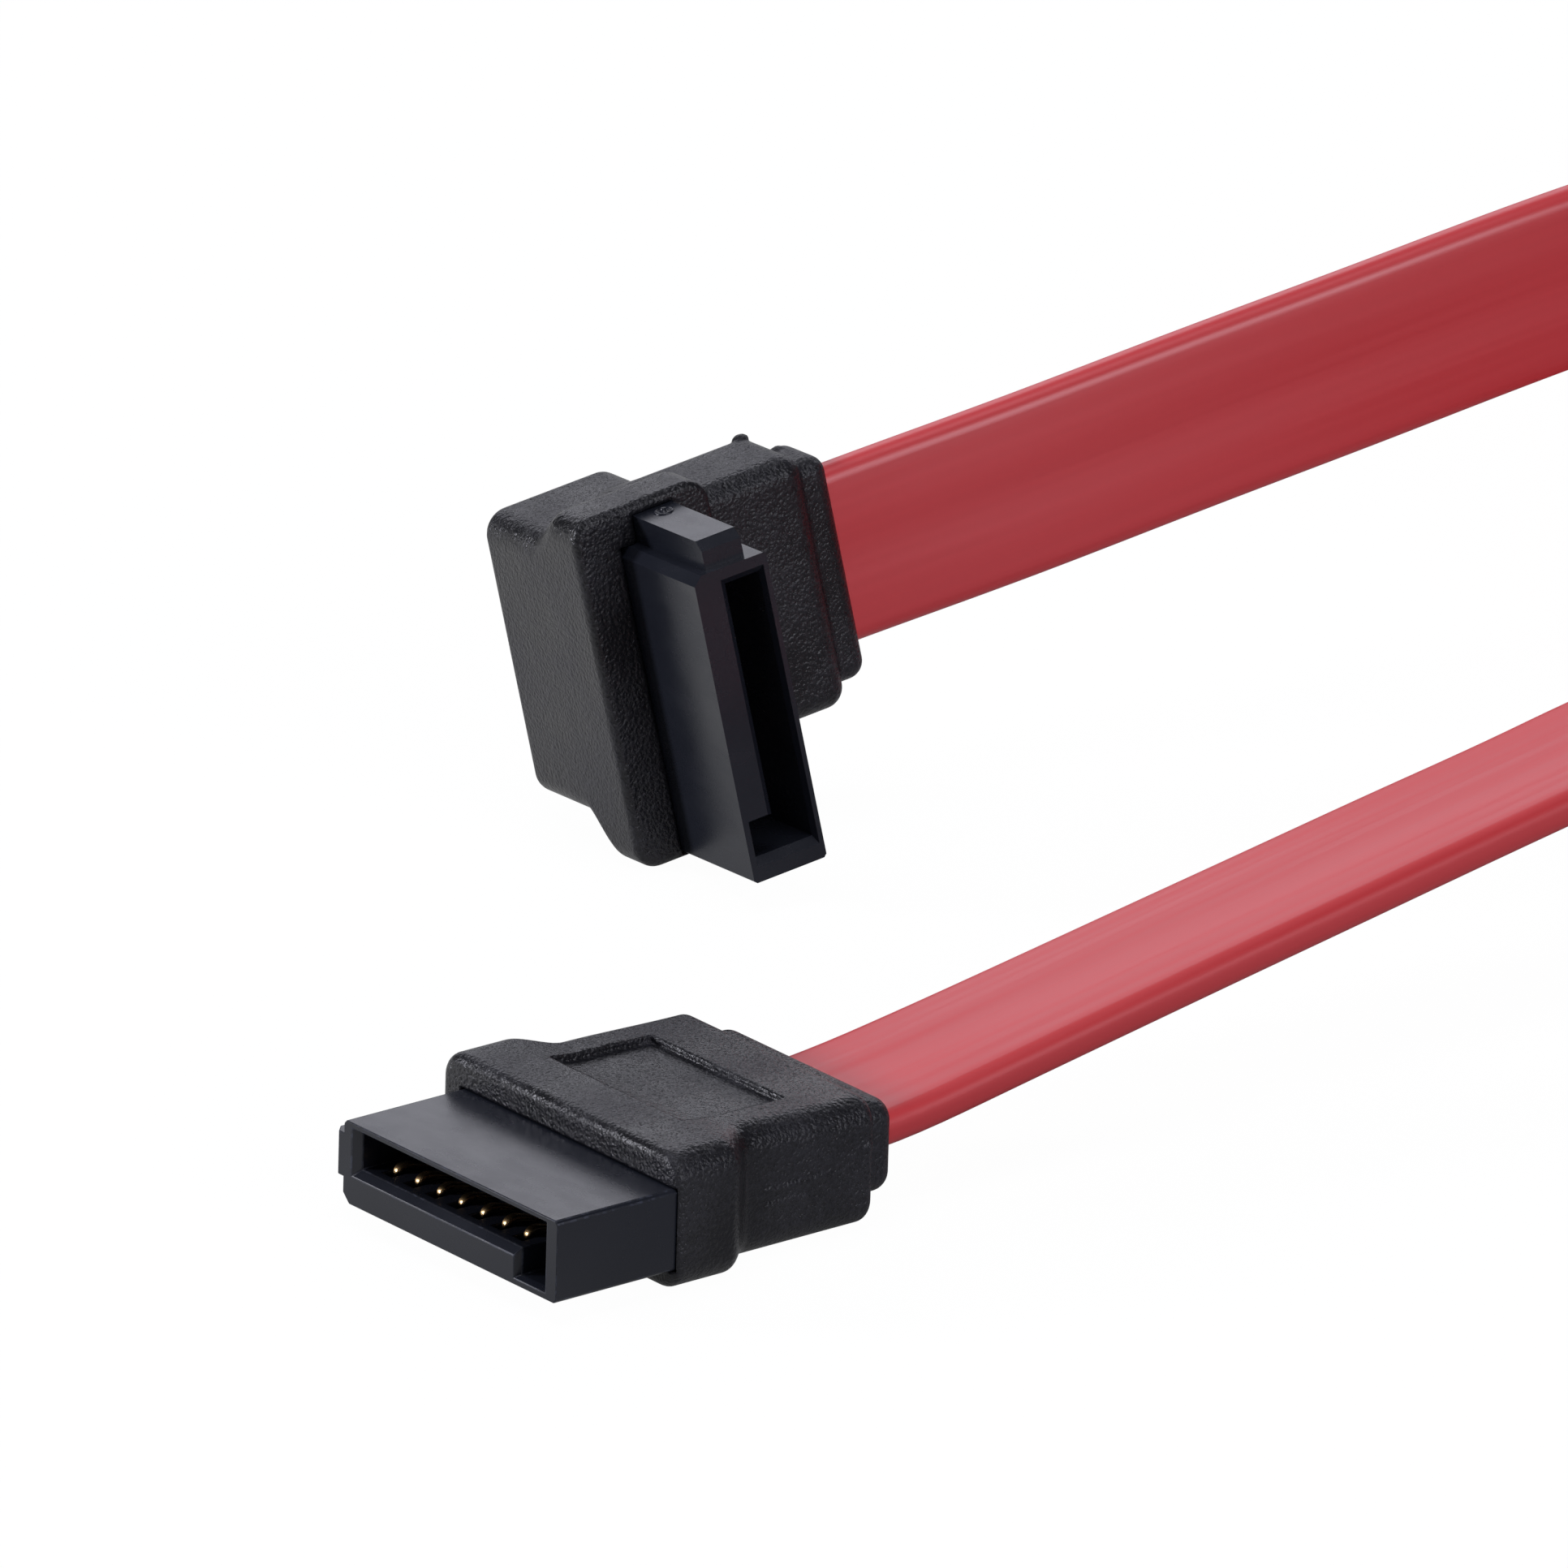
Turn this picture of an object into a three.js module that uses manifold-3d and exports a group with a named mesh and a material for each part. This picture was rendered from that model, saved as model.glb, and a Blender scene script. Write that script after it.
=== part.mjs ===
// A flat serial data cable for a disk drive: a red ribbon with a straight plug at one end and
// a right-angle plug at the other. Millimetres, +Z up. The straight plug lies flat and mates
// towards -X, with the origin on its underside. The right-angle plug stands behind it on the
// edge of its flange. The rest of the ribbon is wound into a coil that lies beside them.
//
// Each plug has its own axes: x runs across the seven contacts from the key rib to the
// slot's leg, y from the thick side of the mouth to the thin one, and z out of the mouth.
// z is 0 at the front of the grip that is moulded around the plug.

import * as THREE from 'three';
import { mergeVertices } from 'three/addons/utils/BufferGeometryUtils.js';
import Module from 'manifold-3d';

const wasm = await Module();
wasm.setup();

// Hard plug body
const bodyWidth = 12.4;
const bodyHeight = 3.2;
const bodyReach = 5.4;          // how far it stands out of the grip
const bodyTail = 2.4;           // how far it runs back inside the grip
const bodyCorner = 0.12;
const keyCorner = 0.35;         // cut corner beside the key rib, under the block

// L-shaped mouth
const thinWall = 0.3;
const slotHeight = 1.85;
const keyEndWall = 0.75;
const legEndWall = 0.9;
const legWidth = 1.4;
const legFloor = 0.35;
const slotDepth = 5;
const leadIn = 0.3;

// Key rib on the end of the body
const ribWidth = 1.7;
const ribRise = 1.1;
const ribSetback = 0.35;
const ribBevel = 0.35;
const ribRoot = 1.2;            // how far the rib runs back inside the grip

// Contacts
const contactCount = 7;
const contactPitch = 1.27;
const contactShift = -0.7;      // middle of the row from the middle of the body
const contactWidth = 0.36;
const contactThickness = 0.2;
const contactTail = 4.2;
const grooveClearance = 0.1;
const grooveDepth = 0.45;
const grooveFront = 0.7;        // block left uncut in front of the grooves
const contactRise = 0.62;       // height of the bowed tip above the block
const tipSetback = 1.35;        // bowed tip behind the mating face
const beamStart = 0.9;          // where the spring beam leaves its groove, past the slot's end
const contactBend = [           // side view around the bowed tip: along and below its crown
  [-0.6, 0.2], [-0.2, 0.02], [0, 0], [0.2, 0.1], [0.5, 0.55],
];

// Ribbon
const ribbonWidth = 7.1;
const ribbonThickness = 1.4;
const ribbonClearance = 0.15;

// Inner block moulded over the soldered ends
const innerClearance = 0.12;
const innerWidth = 9.4;
const innerHeight = 2.6;
const innerLength = 4;
const innerElbow = 4.6;         // how far the right-angle one runs towards its ribbon
const innerNeck = 1.3;          // and how much narrower it is there
const elbowInnerCover = 0.6;    // grip left behind it, at the thinner block

// Straight grip
const mouldGap = 0.08;
const gripRound = 0.8;
const flangeRib = 1.2;          // flange beyond the body at the key rib's end
const flangeLeg = 0.2;
const flangeUnder = 0.85;
const flangeOver = 1.25;
const flangeLength = 2.8;
const waistRun = 1.2;           // length of the S-shaped step behind the flange
const waistStep = 1.1;          // the step's depth on each side
const waistLayers = 6;
const gripLength = 10.2;
const gripOver = 1.1;
const gripTaper = 0.15;
const collarLength = 1.3;
const collarRibInset = 1.4;
const collarLegInset = 0.45;
const collarUnder = 0.9;
const collarOver = 0.5;
const ribbonOffset = 0.45;      // ribbon's middle from the body's, across the contacts
const ribbonLift = 0.35;

// Bare recess in the top of the straight grip
const recessDepth = 0.22;
const recessFront = 2.6;
const recessBack = 7.4;
const recessSide = 1.85;        // from the key end of the body
const recessWidth = 7.7;
const recessRound = 0.9;

// Right-angle grip
const heelReach = 1.9;          // grip beyond the body on its thick side
const archOver = 0.9;           // flange beyond the body on its thin side
const elbowFlangeRib = 1.6;
const elbowFlange = 1.7;
const elbowWaistRun = 2;
const elbowRibStep = 1.15;      // the waist's depth at the key rib's end
const elbowLegStep = 1.5;
const elbowDepth = 7.4;
const blockEnd = 7.1;           // end of the ribbon-side block, from the body's middle
const blockFront = 0.8;
const blockBack = 5.1;
const blockRibSide = 0.7;       // block beyond the body at the key end
const blockLegSide = 2.8;       // block short of the body at the other end
const elbowCollarInset = 0.6;
const elbowCollarLength = 1.3;
const elbowRibbonOffset = -1.8;
const elbowRibbonDepth = 2.9;

// Places
const originBack = 5;           // origin behind the front of the straight grip
const elbowPlace = [23.1, 28];
const elbowHeading = -7.85;     // degrees, ribbon's way out of the right-angle grip from +X
const elbowRise = 10.46;
const elbowLean = -6.45;

// Coil
const coilCentre = [104, 14];
const coilInner = 33.4;
const coilOuter = 37.9;
const coilBase = 0.6;           // the tie runs under the turns
const coilRound = 0.7;

// Tie around the turns
const tieWidth = 3;
const tieThickness = 0.35;
const tieClearance = 0.25;
const tieAngle = -25;

// Route of the ribbon from the right-angle grip to the coil, then from the coil to the
// straight grip: the middle of the ribbon, and its turn about its own line in degrees,
// which is 0 lying flat and 90 standing on its edge.
const elbowRun = [
  [28.52, 30.37, 9.38, 83.5], [31.44, 29.96, 9.92, 83.5], [38.85, 28.54, 11.4, 83.2],
  [46.58, 27.11, 13.04, 83.7], [54.31, 25.7, 14.63, 84.6], [61.7, 24.5, 16.09, 85.4],
  [69, 23.9, 16.9, 86.5], [76.5, 24.8, 16.2, 88], [84, 27.4, 13.6, 89], [91.5, 31.2, 10.4, 90],
  [99, 34.9, 7.7, 90], [106.5, 38, 5.8, 90], [114, 40.1, 4.75, 90], [119.8, 40.4, 4.25, 90],
  [124.4, 39, 4.15, 90],
];
const straightRun = [
  [72.2, -8.9, 4.5, 89], [68, -6.1, 5.6, 80], [64, -4.2, 7.2, 64], [60, -2.8, 8.9, 42],
  [54, -1.2, 9.9, 17], [48, -0.5, 9.46, 5], [42, -0.45, 8.49, 4], [36, -0.45, 7.52, 3.7],
  [30, -0.45, 6.53, 3.3], [24, -0.45, 5.54, 2.9], [18, -0.45, 4.54, 2.4],
  [12, -0.45, 3.55, 1.4], [6.5, -0.45, 2.85, 0], [3.5, -0.45, 2.78, 0],
];
const runSteps = 20;
const arcSteps = 4;             // chords in a quarter circle
const coilSteps = 64;
const overcut = 1;              // how far a cutting shape stands out of what it cuts
const weld = 1e-5;

const halfWidth = bodyWidth / 2;
const halfHeight = bodyHeight / 2;
const blockTop = halfHeight - thinWall - slotHeight;
const slotEnd = bodyReach - slotDepth;

// Outlines are lists of points in the x, y plane, counter-clockwise
function cutRectangle(x0, x1, y0, y1, cut, firstCut = cut) {
  return [
    [x0 + firstCut, y0], [x1 - cut, y0], [x1, y0 + cut], [x1, y1 - cut],
    [x1 - cut, y1], [x0 + cut, y1], [x0, y1 - cut], [x0, y0 + firstCut],
  ];
}

function roundRectangle(x0, x1, y0, y1, radius) {
  const corners = [
    [x1 - radius, y0 + radius, -Math.PI / 2], [x1 - radius, y1 - radius, 0],
    [x0 + radius, y1 - radius, Math.PI / 2], [x0 + radius, y0 + radius, Math.PI],
  ];
  return corners.flatMap(([x, y, start]) =>
    Array.from({ length: arcSteps + 1 }, (_, i) => {
      const angle = start + (i / arcSteps) * (Math.PI / 2);
      return [x + radius * Math.cos(angle), y + radius * Math.sin(angle)];
    }));
}

// Skins a stack of like outlines, each at its own height, into one closed body
function loft(layers) {
  const positions = layers.flatMap(({ outline, z }) => outline.flatMap(([x, y]) => [x, y, z]));
  const count = layers[0].outline.length;
  const index = [];
  for (let layer = 0; layer + 1 < layers.length; layer++) {
    for (let i = 0; i < count; i++) {
      const a = layer * count + i;
      const b = layer * count + (i + 1) % count;
      index.push(a, b, b + count, a, b + count, a + count);
    }
  }
  const top = (layers.length - 1) * count;
  const cap = (outline) => THREE.ShapeUtils.triangulateShape(
    outline.map(([x, y]) => new THREE.Vector2(x, y)), []);
  for (const [a, b, c] of cap(layers[0].outline)) index.push(a, c, b);
  for (const [a, b, c] of cap(layers.at(-1).outline)) index.push(top + a, top + b, top + c);
  const geometry = new THREE.BufferGeometry();
  geometry.setAttribute('position', new THREE.Float32BufferAttribute(positions, 3));
  geometry.setIndex(index);
  return geometry;
}

function prism(outline, z0, z1) {
  return loft([{ outline, z: z0 }, { outline, z: z1 }]);
}

function box(x0, x1, y0, y1, z0, z1) {
  return new THREE.BoxGeometry(x1 - x0, y1 - y0, z1 - z0)
    .translate((x0 + x1) / 2, (y0 + y1) / 2, (z0 + z1) / 2);
}

// A block with every edge rounded: its outline shrinks along a quarter circle at both ends.
// Sides is a list of [z, x0, x1, y0, y1] from the back to the front. The corners are a little
// tighter than the ends, so that no outline closes to a point.
function pillow(sides, round) {
  const first = sides[0];
  const last = sides.at(-1);
  const end = ([z, x0, x1, y0, y1], way) =>
    Array.from({ length: arcSteps }, (_, i) => {
      const angle = (i / arcSteps) * (Math.PI / 2);
      const inset = round * (1 - Math.sin(angle));
      return {
        outline: roundRectangle(
          x0 + inset, x1 - inset, y0 + inset, y1 - inset, (round - inset) * 0.9 + round * 0.08),
        z: z + way * round * (1 - Math.cos(angle)),
      };
    });
  const middle = (z, [, x0, x1, y0, y1]) =>
    ({ outline: roundRectangle(x0, x1, y0, y1, round * 0.98), z });
  return loft([
    ...end(first, 1),
    middle(first[0] + round, first),
    ...sides.slice(1, -1).map((side) => middle(side[0], side)),
    middle(last[0] - round, last),
    ...end(last, -1).reverse(),
  ]);
}

function toSolid(geometry) {
  const bare = geometry.clone();
  bare.deleteAttribute('normal');
  bare.deleteAttribute('uv');
  const merged = mergeVertices(bare, weld);
  return new wasm.Manifold(new wasm.Mesh({
    numProp: 3,
    vertProperties: new Float32Array(merged.attributes.position.array),
    triVerts: new Uint32Array(merged.index.array),
  }));
}

function carve(base, { add = [], cut = [] }) {
  let solid = toSolid(base);
  for (const geometry of add) solid = solid.add(toSolid(geometry));
  for (const geometry of cut) solid = solid.subtract(toSolid(geometry));
  const mesh = solid.getMesh();
  const geometry = new THREE.BufferGeometry();
  geometry.setAttribute('position', new THREE.Float32BufferAttribute(mesh.vertProperties, 3));
  geometry.setIndex(new THREE.Uint32BufferAttribute(mesh.triVerts, 1));
  return geometry;
}

const finishes = {
  body: { color: 0x1b1e26, roughness: 0.35, metalness: 0 },
  grip: { color: 0x17181c, roughness: 0.6, metalness: 0 },
  inner: { color: 0xd9d6c8, roughness: 0.6, metalness: 0 },
  contact: { color: 0xc08a4a, roughness: 0.25, metalness: 1 },
  ribbon: { color: 0xad3942, roughness: 0.45, metalness: 0 },
  tie: { color: 0x1c1c1e, roughness: 0.5, metalness: 0 },
};

function part(name, geometry, finish) {
  const mesh = new THREE.Mesh(geometry, new THREE.MeshStandardMaterial(finishes[finish]));
  mesh.name = name;
  return mesh;
}

// The mouth's outline: a long slot with a leg at its end. Lead widens it at the face.
function mouthOutline(lead) {
  const left = -halfWidth + keyEndWall - lead;
  const right = halfWidth - legEndWall + lead;
  const legLeft = halfWidth - legEndWall - legWidth - lead / 2;
  const legBottom = -halfHeight + legFloor - lead / 3;
  const top = halfHeight - thinWall + lead / 3;
  return [
    [left, blockTop - lead], [legLeft, blockTop - lead], [legLeft, legBottom],
    [right, legBottom], [right, top], [left, top],
  ];
}

function contactPlaces() {
  return Array.from({ length: contactCount }, (_, i) =>
    contactShift + (i - (contactCount - 1) / 2) * contactPitch);
}

// One spring contact, drawn as a strip from its soldered tail to the bowed tip
function contactGeometry(x) {
  const floor = blockTop - grooveDepth + grooveClearance + contactThickness / 2;
  const tip = bodyReach - tipSetback;
  const crown = blockTop + contactRise;
  const line = [
    [-contactTail, floor], [slotEnd + beamStart, floor],
    ...contactBend.map(([along, below]) => [tip + along, crown - below]),
  ].map(([z, y]) => new THREE.Vector2(z, y));
  const side = (way) => line.map((point, i) => {
    const before = line[Math.max(i - 1, 0)];
    const after = line[Math.min(i + 1, line.length - 1)];
    const along = after.clone().sub(before).normalize();
    const offset = new THREE.Vector2(-along.y, along.x);
    return offset.multiplyScalar(way * contactThickness / 2).add(point);
  });
  const shape = new THREE.Shape([...side(-1), ...side(1).reverse()]);
  return new THREE.ExtrudeGeometry(shape, { depth: contactWidth, bevelEnabled: false })
    .translate(0, 0, -contactWidth / 2)
    .rotateY(-Math.PI / 2)
    .translate(x, 0, 0);
}

// The key rib's section. The bevel takes its outer face in.
function ribOutline(bevel) {
  const outer = -halfWidth - ribRise + bevel;
  const inner = -halfWidth + bodyCorner;
  const half = ribWidth / 2;
  return [[outer, -half], [inner, -half], [inner, half], [outer, half]];
}

// The plug body with its mouth, contact grooves and key rib
function bodyGeometry() {
  const outline = cutRectangle(
    -halfWidth, halfWidth, -halfHeight, halfHeight, bodyCorner, keyCorner);
  const ribFront = bodyReach - ribSetback;
  const rib = loft([
    { outline: ribOutline(0), z: -ribRoot },
    { outline: ribOutline(0), z: ribFront - ribBevel },
    { outline: ribOutline(ribBevel), z: ribFront },
  ]);
  const mouth = loft([
    { outline: mouthOutline(0), z: slotEnd },
    { outline: mouthOutline(0), z: bodyReach - leadIn },
    { outline: mouthOutline(leadIn), z: bodyReach },
    { outline: mouthOutline(leadIn), z: bodyReach + leadIn },
  ]);
  const grooveHalf = contactWidth / 2 + grooveClearance;
  const grooves = contactPlaces().map((x) => box(
    x - grooveHalf, x + grooveHalf, blockTop - grooveDepth, blockTop + leadIn / 2,
    -bodyTail - overcut, bodyReach - grooveFront));
  return carve(prism(outline, -bodyTail, bodyReach), { add: [rib], cut: [mouth, ...grooves] });
}

// The room that a grip leaves for the body's tail and its key rib
function bodyPocket() {
  const gap = mouldGap;
  return [
    box(-halfWidth - gap, halfWidth + gap, -halfHeight - gap, halfHeight + gap,
      -bodyTail - innerClearance, gripRound * 3),
    box(-halfWidth - ribRise - gap, -halfWidth + gap, -ribWidth / 2 - gap, ribWidth / 2 + gap,
      -ribRoot - innerClearance, gripRound * 3),
  ];
}

const innerBack = -bodyTail - 2 * innerClearance - innerLength;
const innerFront = -bodyTail - innerClearance;

// Slots for the contacts' tails in an inner block
function tailSlots() {
  const half = contactWidth / 2 + grooveClearance;
  const floor = blockTop - grooveDepth;
  return contactPlaces().map((x) => box(
    x - half, x + half, floor, floor + contactThickness + 2 * grooveClearance,
    -contactTail - grooveClearance, innerFront + overcut));
}

function innerBlock(reach) {
  const x0 = contactShift - innerWidth / 2;
  const outline = cutRectangle(x0, x0 + innerWidth, -innerHeight / 2, reach, bodyCorner * 2);
  return carve(prism(outline, innerBack, innerFront), { cut: tailSlots() });
}

function innerRoom(reach) {
  const gap = innerClearance;
  const x0 = contactShift - innerWidth / 2;
  return box(x0 - gap, x0 + innerWidth + gap, -innerHeight / 2 - gap, reach + gap,
    innerBack - gap, innerFront + gap);
}

// The way that the ribbon takes through a grip's collar, along z, entered at z = 0
function ribbonRoom(length) {
  const x = ribbonWidth / 2 + ribbonClearance;
  const y = ribbonThickness / 2 + ribbonClearance;
  return prism(roundRectangle(-x, x, -y, y, ribbonThickness / 2), -overcut, length);
}

// A smooth step from 0 to 1, for the waist behind a flange
function easeInOut(share) {
  return share * share * (3 - 2 * share);
}

// The sides of a grip from its narrower back to its flange. Steps holds the step's depth at the
// key rib's end, at the leg's end and over the top.
function waist(back, run, [x0, x1, y0, y1], [ribStep, legStep, topStep]) {
  return Array.from({ length: waistLayers + 1 }, (_, i) => {
    const share = i / waistLayers;
    const step = easeInOut(1 - share);
    return [
      back + run * share, x0 + ribStep * step, x1 - legStep * step, y0, y1 - topStep * step,
    ];
  });
}

function straightGripGeometry() {
  const flange = [-halfWidth - flangeRib, halfWidth + flangeLeg,
    -halfHeight - flangeUnder, halfHeight + flangeOver];
  const back = [flange[0] + waistStep, flange[1] - waistStep,
    flange[2], halfHeight + gripOver - gripTaper];
  const main = pillow([
    [-gripLength, ...back],
    ...waist(-flangeLength - waistRun, waistRun, flange,
      [waistStep, waistStep, flangeOver - gripOver]),
    [0, ...flange],
  ], gripRound);
  const collarSides = [back[0] + collarRibInset, back[1] - collarLegInset,
    back[2] + collarUnder, back[3] - collarOver];
  const collar = pillow([
    [-gripLength - collarLength, ...collarSides],
    [-gripLength + gripRound * 2, ...collarSides],
  ], gripRound * 0.9);
  const recess = prism(roundRectangle(
    -halfWidth + recessSide, -halfWidth + recessSide + recessWidth,
    recessFront, recessBack, recessRound), 0, gripRound)
    .rotateX(-Math.PI / 2)
    .translate(0, halfHeight + gripOver - gripTaper / 2 - recessDepth, 0);
  const entry = ribbonRoom(-innerBack + gripLength)
    .translate(ribbonOffset, ribbonLift, -gripLength - collarLength);
  return carve(main, {
    add: [collar],
    cut: [...bodyPocket(), innerRoom(innerHeight / 2), entry, recess],
  });
}

function elbowGripGeometry() {
  const flange = [-halfWidth - elbowFlangeRib, halfWidth + flangeLeg,
    -halfHeight - heelReach, halfHeight + archOver];
  const main = pillow([
    [-elbowDepth, flange[0] + elbowRibStep, flange[1] - elbowLegStep, flange[2], flange[3]],
    ...waist(-elbowFlange - elbowWaistRun, elbowWaistRun, flange, [elbowRibStep, elbowLegStep, 0]),
    [0, ...flange],
  ], gripRound);
  const blockSides = [-halfWidth - blockRibSide, halfWidth - blockLegSide, blockFront, blockBack];
  // The block and its collar run along y, so they are drawn along z and turned over
  const turn = (geometry) => geometry.rotateX(-Math.PI / 2);
  const block = turn(pillow([[0, ...blockSides], [blockEnd, ...blockSides]], gripRound));
  const collarSides = [blockSides[0] + elbowCollarInset, blockSides[1] - elbowCollarInset,
    blockFront + elbowCollarInset, blockBack - elbowCollarInset];
  const collarEnd = blockEnd + elbowCollarLength;
  const collar = turn(pillow([
    [blockEnd - gripRound * 2, ...collarSides], [collarEnd, ...collarSides],
  ], gripRound * 0.9));
  const entry = turn(ribbonRoom(collarEnd - innerElbow + overcut).rotateX(Math.PI))
    .translate(elbowRibbonOffset, collarEnd, -elbowRibbonDepth);
  return carve(main, {
    add: [block, collar],
    cut: [...bodyPocket(), elbowInnerRoom(), entry],
  });
}

// The right-angle inner block is shallower, so that the grip closes behind it, and narrows
// where the ribbon's wires turn towards the collar
const elbowInnerBack = -blockBack + elbowInnerCover;

function elbowInnerOutline(gap) {
  const x0 = contactShift - innerWidth / 2 - gap;
  const x1 = contactShift + innerWidth / 2 + gap;
  const neck = x1 - innerNeck;
  const shoulder = innerHeight / 2 + gap;
  return [
    [x0, -innerHeight / 2 - gap], [x1, -innerHeight / 2 - gap], [x1, shoulder],
    [neck, shoulder], [neck, innerElbow + gap], [x0, innerElbow + gap],
  ];
}

function elbowInnerGeometry() {
  return carve(prism(elbowInnerOutline(0), elbowInnerBack, innerFront), { cut: tailSlots() });
}

function elbowInnerRoom() {
  return prism(elbowInnerOutline(innerClearance), elbowInnerBack - innerClearance,
    innerFront + innerClearance);
}

function plug(prefix, grip, inner) {
  const group = new THREE.Group();
  group.add(part(`${prefix}_body`, bodyGeometry(), 'body'));
  contactPlaces().forEach((x, i) =>
    group.add(part(`${prefix}_contact_${i + 1}`, contactGeometry(x), 'contact')));
  group.add(part(`${prefix}_inner_block`, inner, 'inner'));
  group.add(part(`${prefix}_grip`, grip, 'grip'));
  return group;
}

// A ribbon's line that carries its own turn, so that the section lies flat or stands on edge
class RibbonLine extends THREE.CatmullRomCurve3 {
  constructor(points) {
    super(points.map(([x, y, z]) => new THREE.Vector3(x, y, z)), false, 'centripetal');
    this.turns = points.map((point) => THREE.MathUtils.degToRad(point[3]));
  }

  computeFrenetFrames(segments) {
    const frames = { tangents: [], normals: [], binormals: [] };
    const up = new THREE.Vector3(0, 0, 1);
    for (let i = 0; i <= segments; i++) {
      const along = this.getTangentAt(i / segments);
      const place = this.getUtoTmapping(i / segments) * (this.turns.length - 1);
      const before = Math.min(Math.floor(place), this.turns.length - 2);
      const turn = THREE.MathUtils.lerp(this.turns[before], this.turns[before + 1], place - before);
      const across = new THREE.Vector3().crossVectors(up, along).normalize();
      const width = across.applyAxisAngle(along, turn);
      frames.tangents.push(along);
      frames.normals.push(width);
      frames.binormals.push(new THREE.Vector3().crossVectors(along, width));
    }
    return frames;
  }
}

function ribbonRun(points) {
  const x = ribbonWidth / 2;
  const y = ribbonThickness / 2;
  const section = new THREE.Shape(cutRectangle(-x, x, -y, y, y * 0.6)
    .map(([u, v]) => new THREE.Vector2(u, v)));
  return new THREE.ExtrudeGeometry(section, {
    steps: runSteps, extrudePath: new RibbonLine(points), bevelEnabled: false,
  });
}

// The turns of the coil stand on edge beside each other, inside this ring
function coilGeometry() {
  const top = coilBase + ribbonWidth;
  const profile = cutRectangle(coilInner, coilOuter, coilBase, top, coilRound);
  const closed = [...profile, profile[0]].map(([r, z]) => new THREE.Vector2(r, z));
  return new THREE.LatheGeometry(closed, coilSteps)
    .rotateX(Math.PI / 2)
    .translate(coilCentre[0], coilCentre[1], 0);
}

function tieGeometry() {
  const gap = tieClearance;
  const r0 = coilInner - gap;
  const r1 = coilOuter + gap;
  const z0 = coilBase - gap;
  const z1 = coilBase + ribbonWidth + gap;
  const frame = (grow) => cutRectangle(
    r0 - grow, r1 + grow, z0 - grow, z1 + grow, (coilRound + grow) / 2);
  const shape = new THREE.Shape(frame(tieThickness).map(([x, y]) => new THREE.Vector2(x, y)));
  shape.holes.push(new THREE.Path(frame(0).map(([x, y]) => new THREE.Vector2(x, y))));
  return new THREE.ExtrudeGeometry(shape, { depth: tieWidth, bevelEnabled: false })
    .translate(0, 0, -tieWidth / 2)
    .rotateX(Math.PI / 2)
    .rotateZ(THREE.MathUtils.degToRad(tieAngle))
    .translate(coilCentre[0], coilCentre[1], 0);
}

const cable = new THREE.Group();

// The straight plug lies on its thick side: its x runs to -Y, its y up and its z to -X
const straight = plug('straight', straightGripGeometry(), innerBlock(innerHeight / 2));
straight.quaternion.setFromRotationMatrix(new THREE.Matrix4().makeBasis(
  new THREE.Vector3(0, -1, 0), new THREE.Vector3(0, 0, 1), new THREE.Vector3(-1, 0, 0)));
straight.position.set(-originBack, 0, halfHeight + flangeUnder);
cable.add(straight);

// The right-angle plug stands on the flange's end, its contacts in a column and its ribbon
// leaving along +X: then it leans, rises and turns with the ribbon that holds it.
const upright = plug('right_angle', elbowGripGeometry(), elbowInnerGeometry());
upright.quaternion.setFromRotationMatrix(new THREE.Matrix4().makeBasis(
  new THREE.Vector3(0, 0, -1), new THREE.Vector3(1, 0, 0), new THREE.Vector3(0, -1, 0)));
const elbow = new THREE.Group();
elbow.rotation.set(
  THREE.MathUtils.degToRad(elbowLean), THREE.MathUtils.degToRad(-elbowRise),
  THREE.MathUtils.degToRad(elbowHeading), 'ZYX');
elbow.add(upright);
elbow.position.set(elbowPlace[0], elbowPlace[1], 0);
elbow.position.z = -new THREE.Box3().setFromObject(elbow, true).min.z;
cable.add(elbow);

cable.add(part('ribbon_to_right_angle', ribbonRun(elbowRun), 'ribbon'));
cable.add(part('ribbon_to_straight', ribbonRun(straightRun), 'ribbon'));
cable.add(part('ribbon_coil', coilGeometry(), 'ribbon'));
cable.add(part('coil_tie', tieGeometry(), 'tie'));

export default cable;
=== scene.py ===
# Finish of a flat data cable: its ribbon and coil, the two moulded plugs, and a plain studio.
# Every piece is modelled in metres in the frame of the loaded model, and rides on its one body.
# A plug is drawn in its own axes in millimetres: x across the contacts from the key rib, y from
# the thick side of the mouth to the thin side, and z out of the mouth from the grip's front.

import itertools
import math

import bmesh
import bpy
import numpy as np
from mathutils import Matrix, Vector


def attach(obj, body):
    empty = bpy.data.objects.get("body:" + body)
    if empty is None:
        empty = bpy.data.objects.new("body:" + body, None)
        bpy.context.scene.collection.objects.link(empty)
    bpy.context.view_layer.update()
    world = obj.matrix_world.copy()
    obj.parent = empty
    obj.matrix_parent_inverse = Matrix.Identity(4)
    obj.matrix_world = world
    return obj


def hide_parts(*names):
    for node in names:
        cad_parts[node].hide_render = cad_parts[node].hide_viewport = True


bl_info = {
    "name": "Flat Data Cable",
    "version": (1, 0, 0),
    "blender": (4, 5, 0),
    "location": "3D View > Sidebar > Data Cable",
    "description": "Models and finishes a flat data cable with two moulded plugs",
    "category": "Object",
}

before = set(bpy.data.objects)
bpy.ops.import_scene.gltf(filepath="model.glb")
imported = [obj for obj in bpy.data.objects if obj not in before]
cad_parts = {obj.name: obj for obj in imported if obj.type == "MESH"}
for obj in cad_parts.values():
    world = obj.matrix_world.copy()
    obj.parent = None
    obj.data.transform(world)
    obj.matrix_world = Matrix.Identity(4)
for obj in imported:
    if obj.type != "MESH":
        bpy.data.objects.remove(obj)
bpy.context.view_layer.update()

MM = 0.001
PLUGS = ("straight", "right_angle")


# Sizes and colours that a user would change


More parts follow.
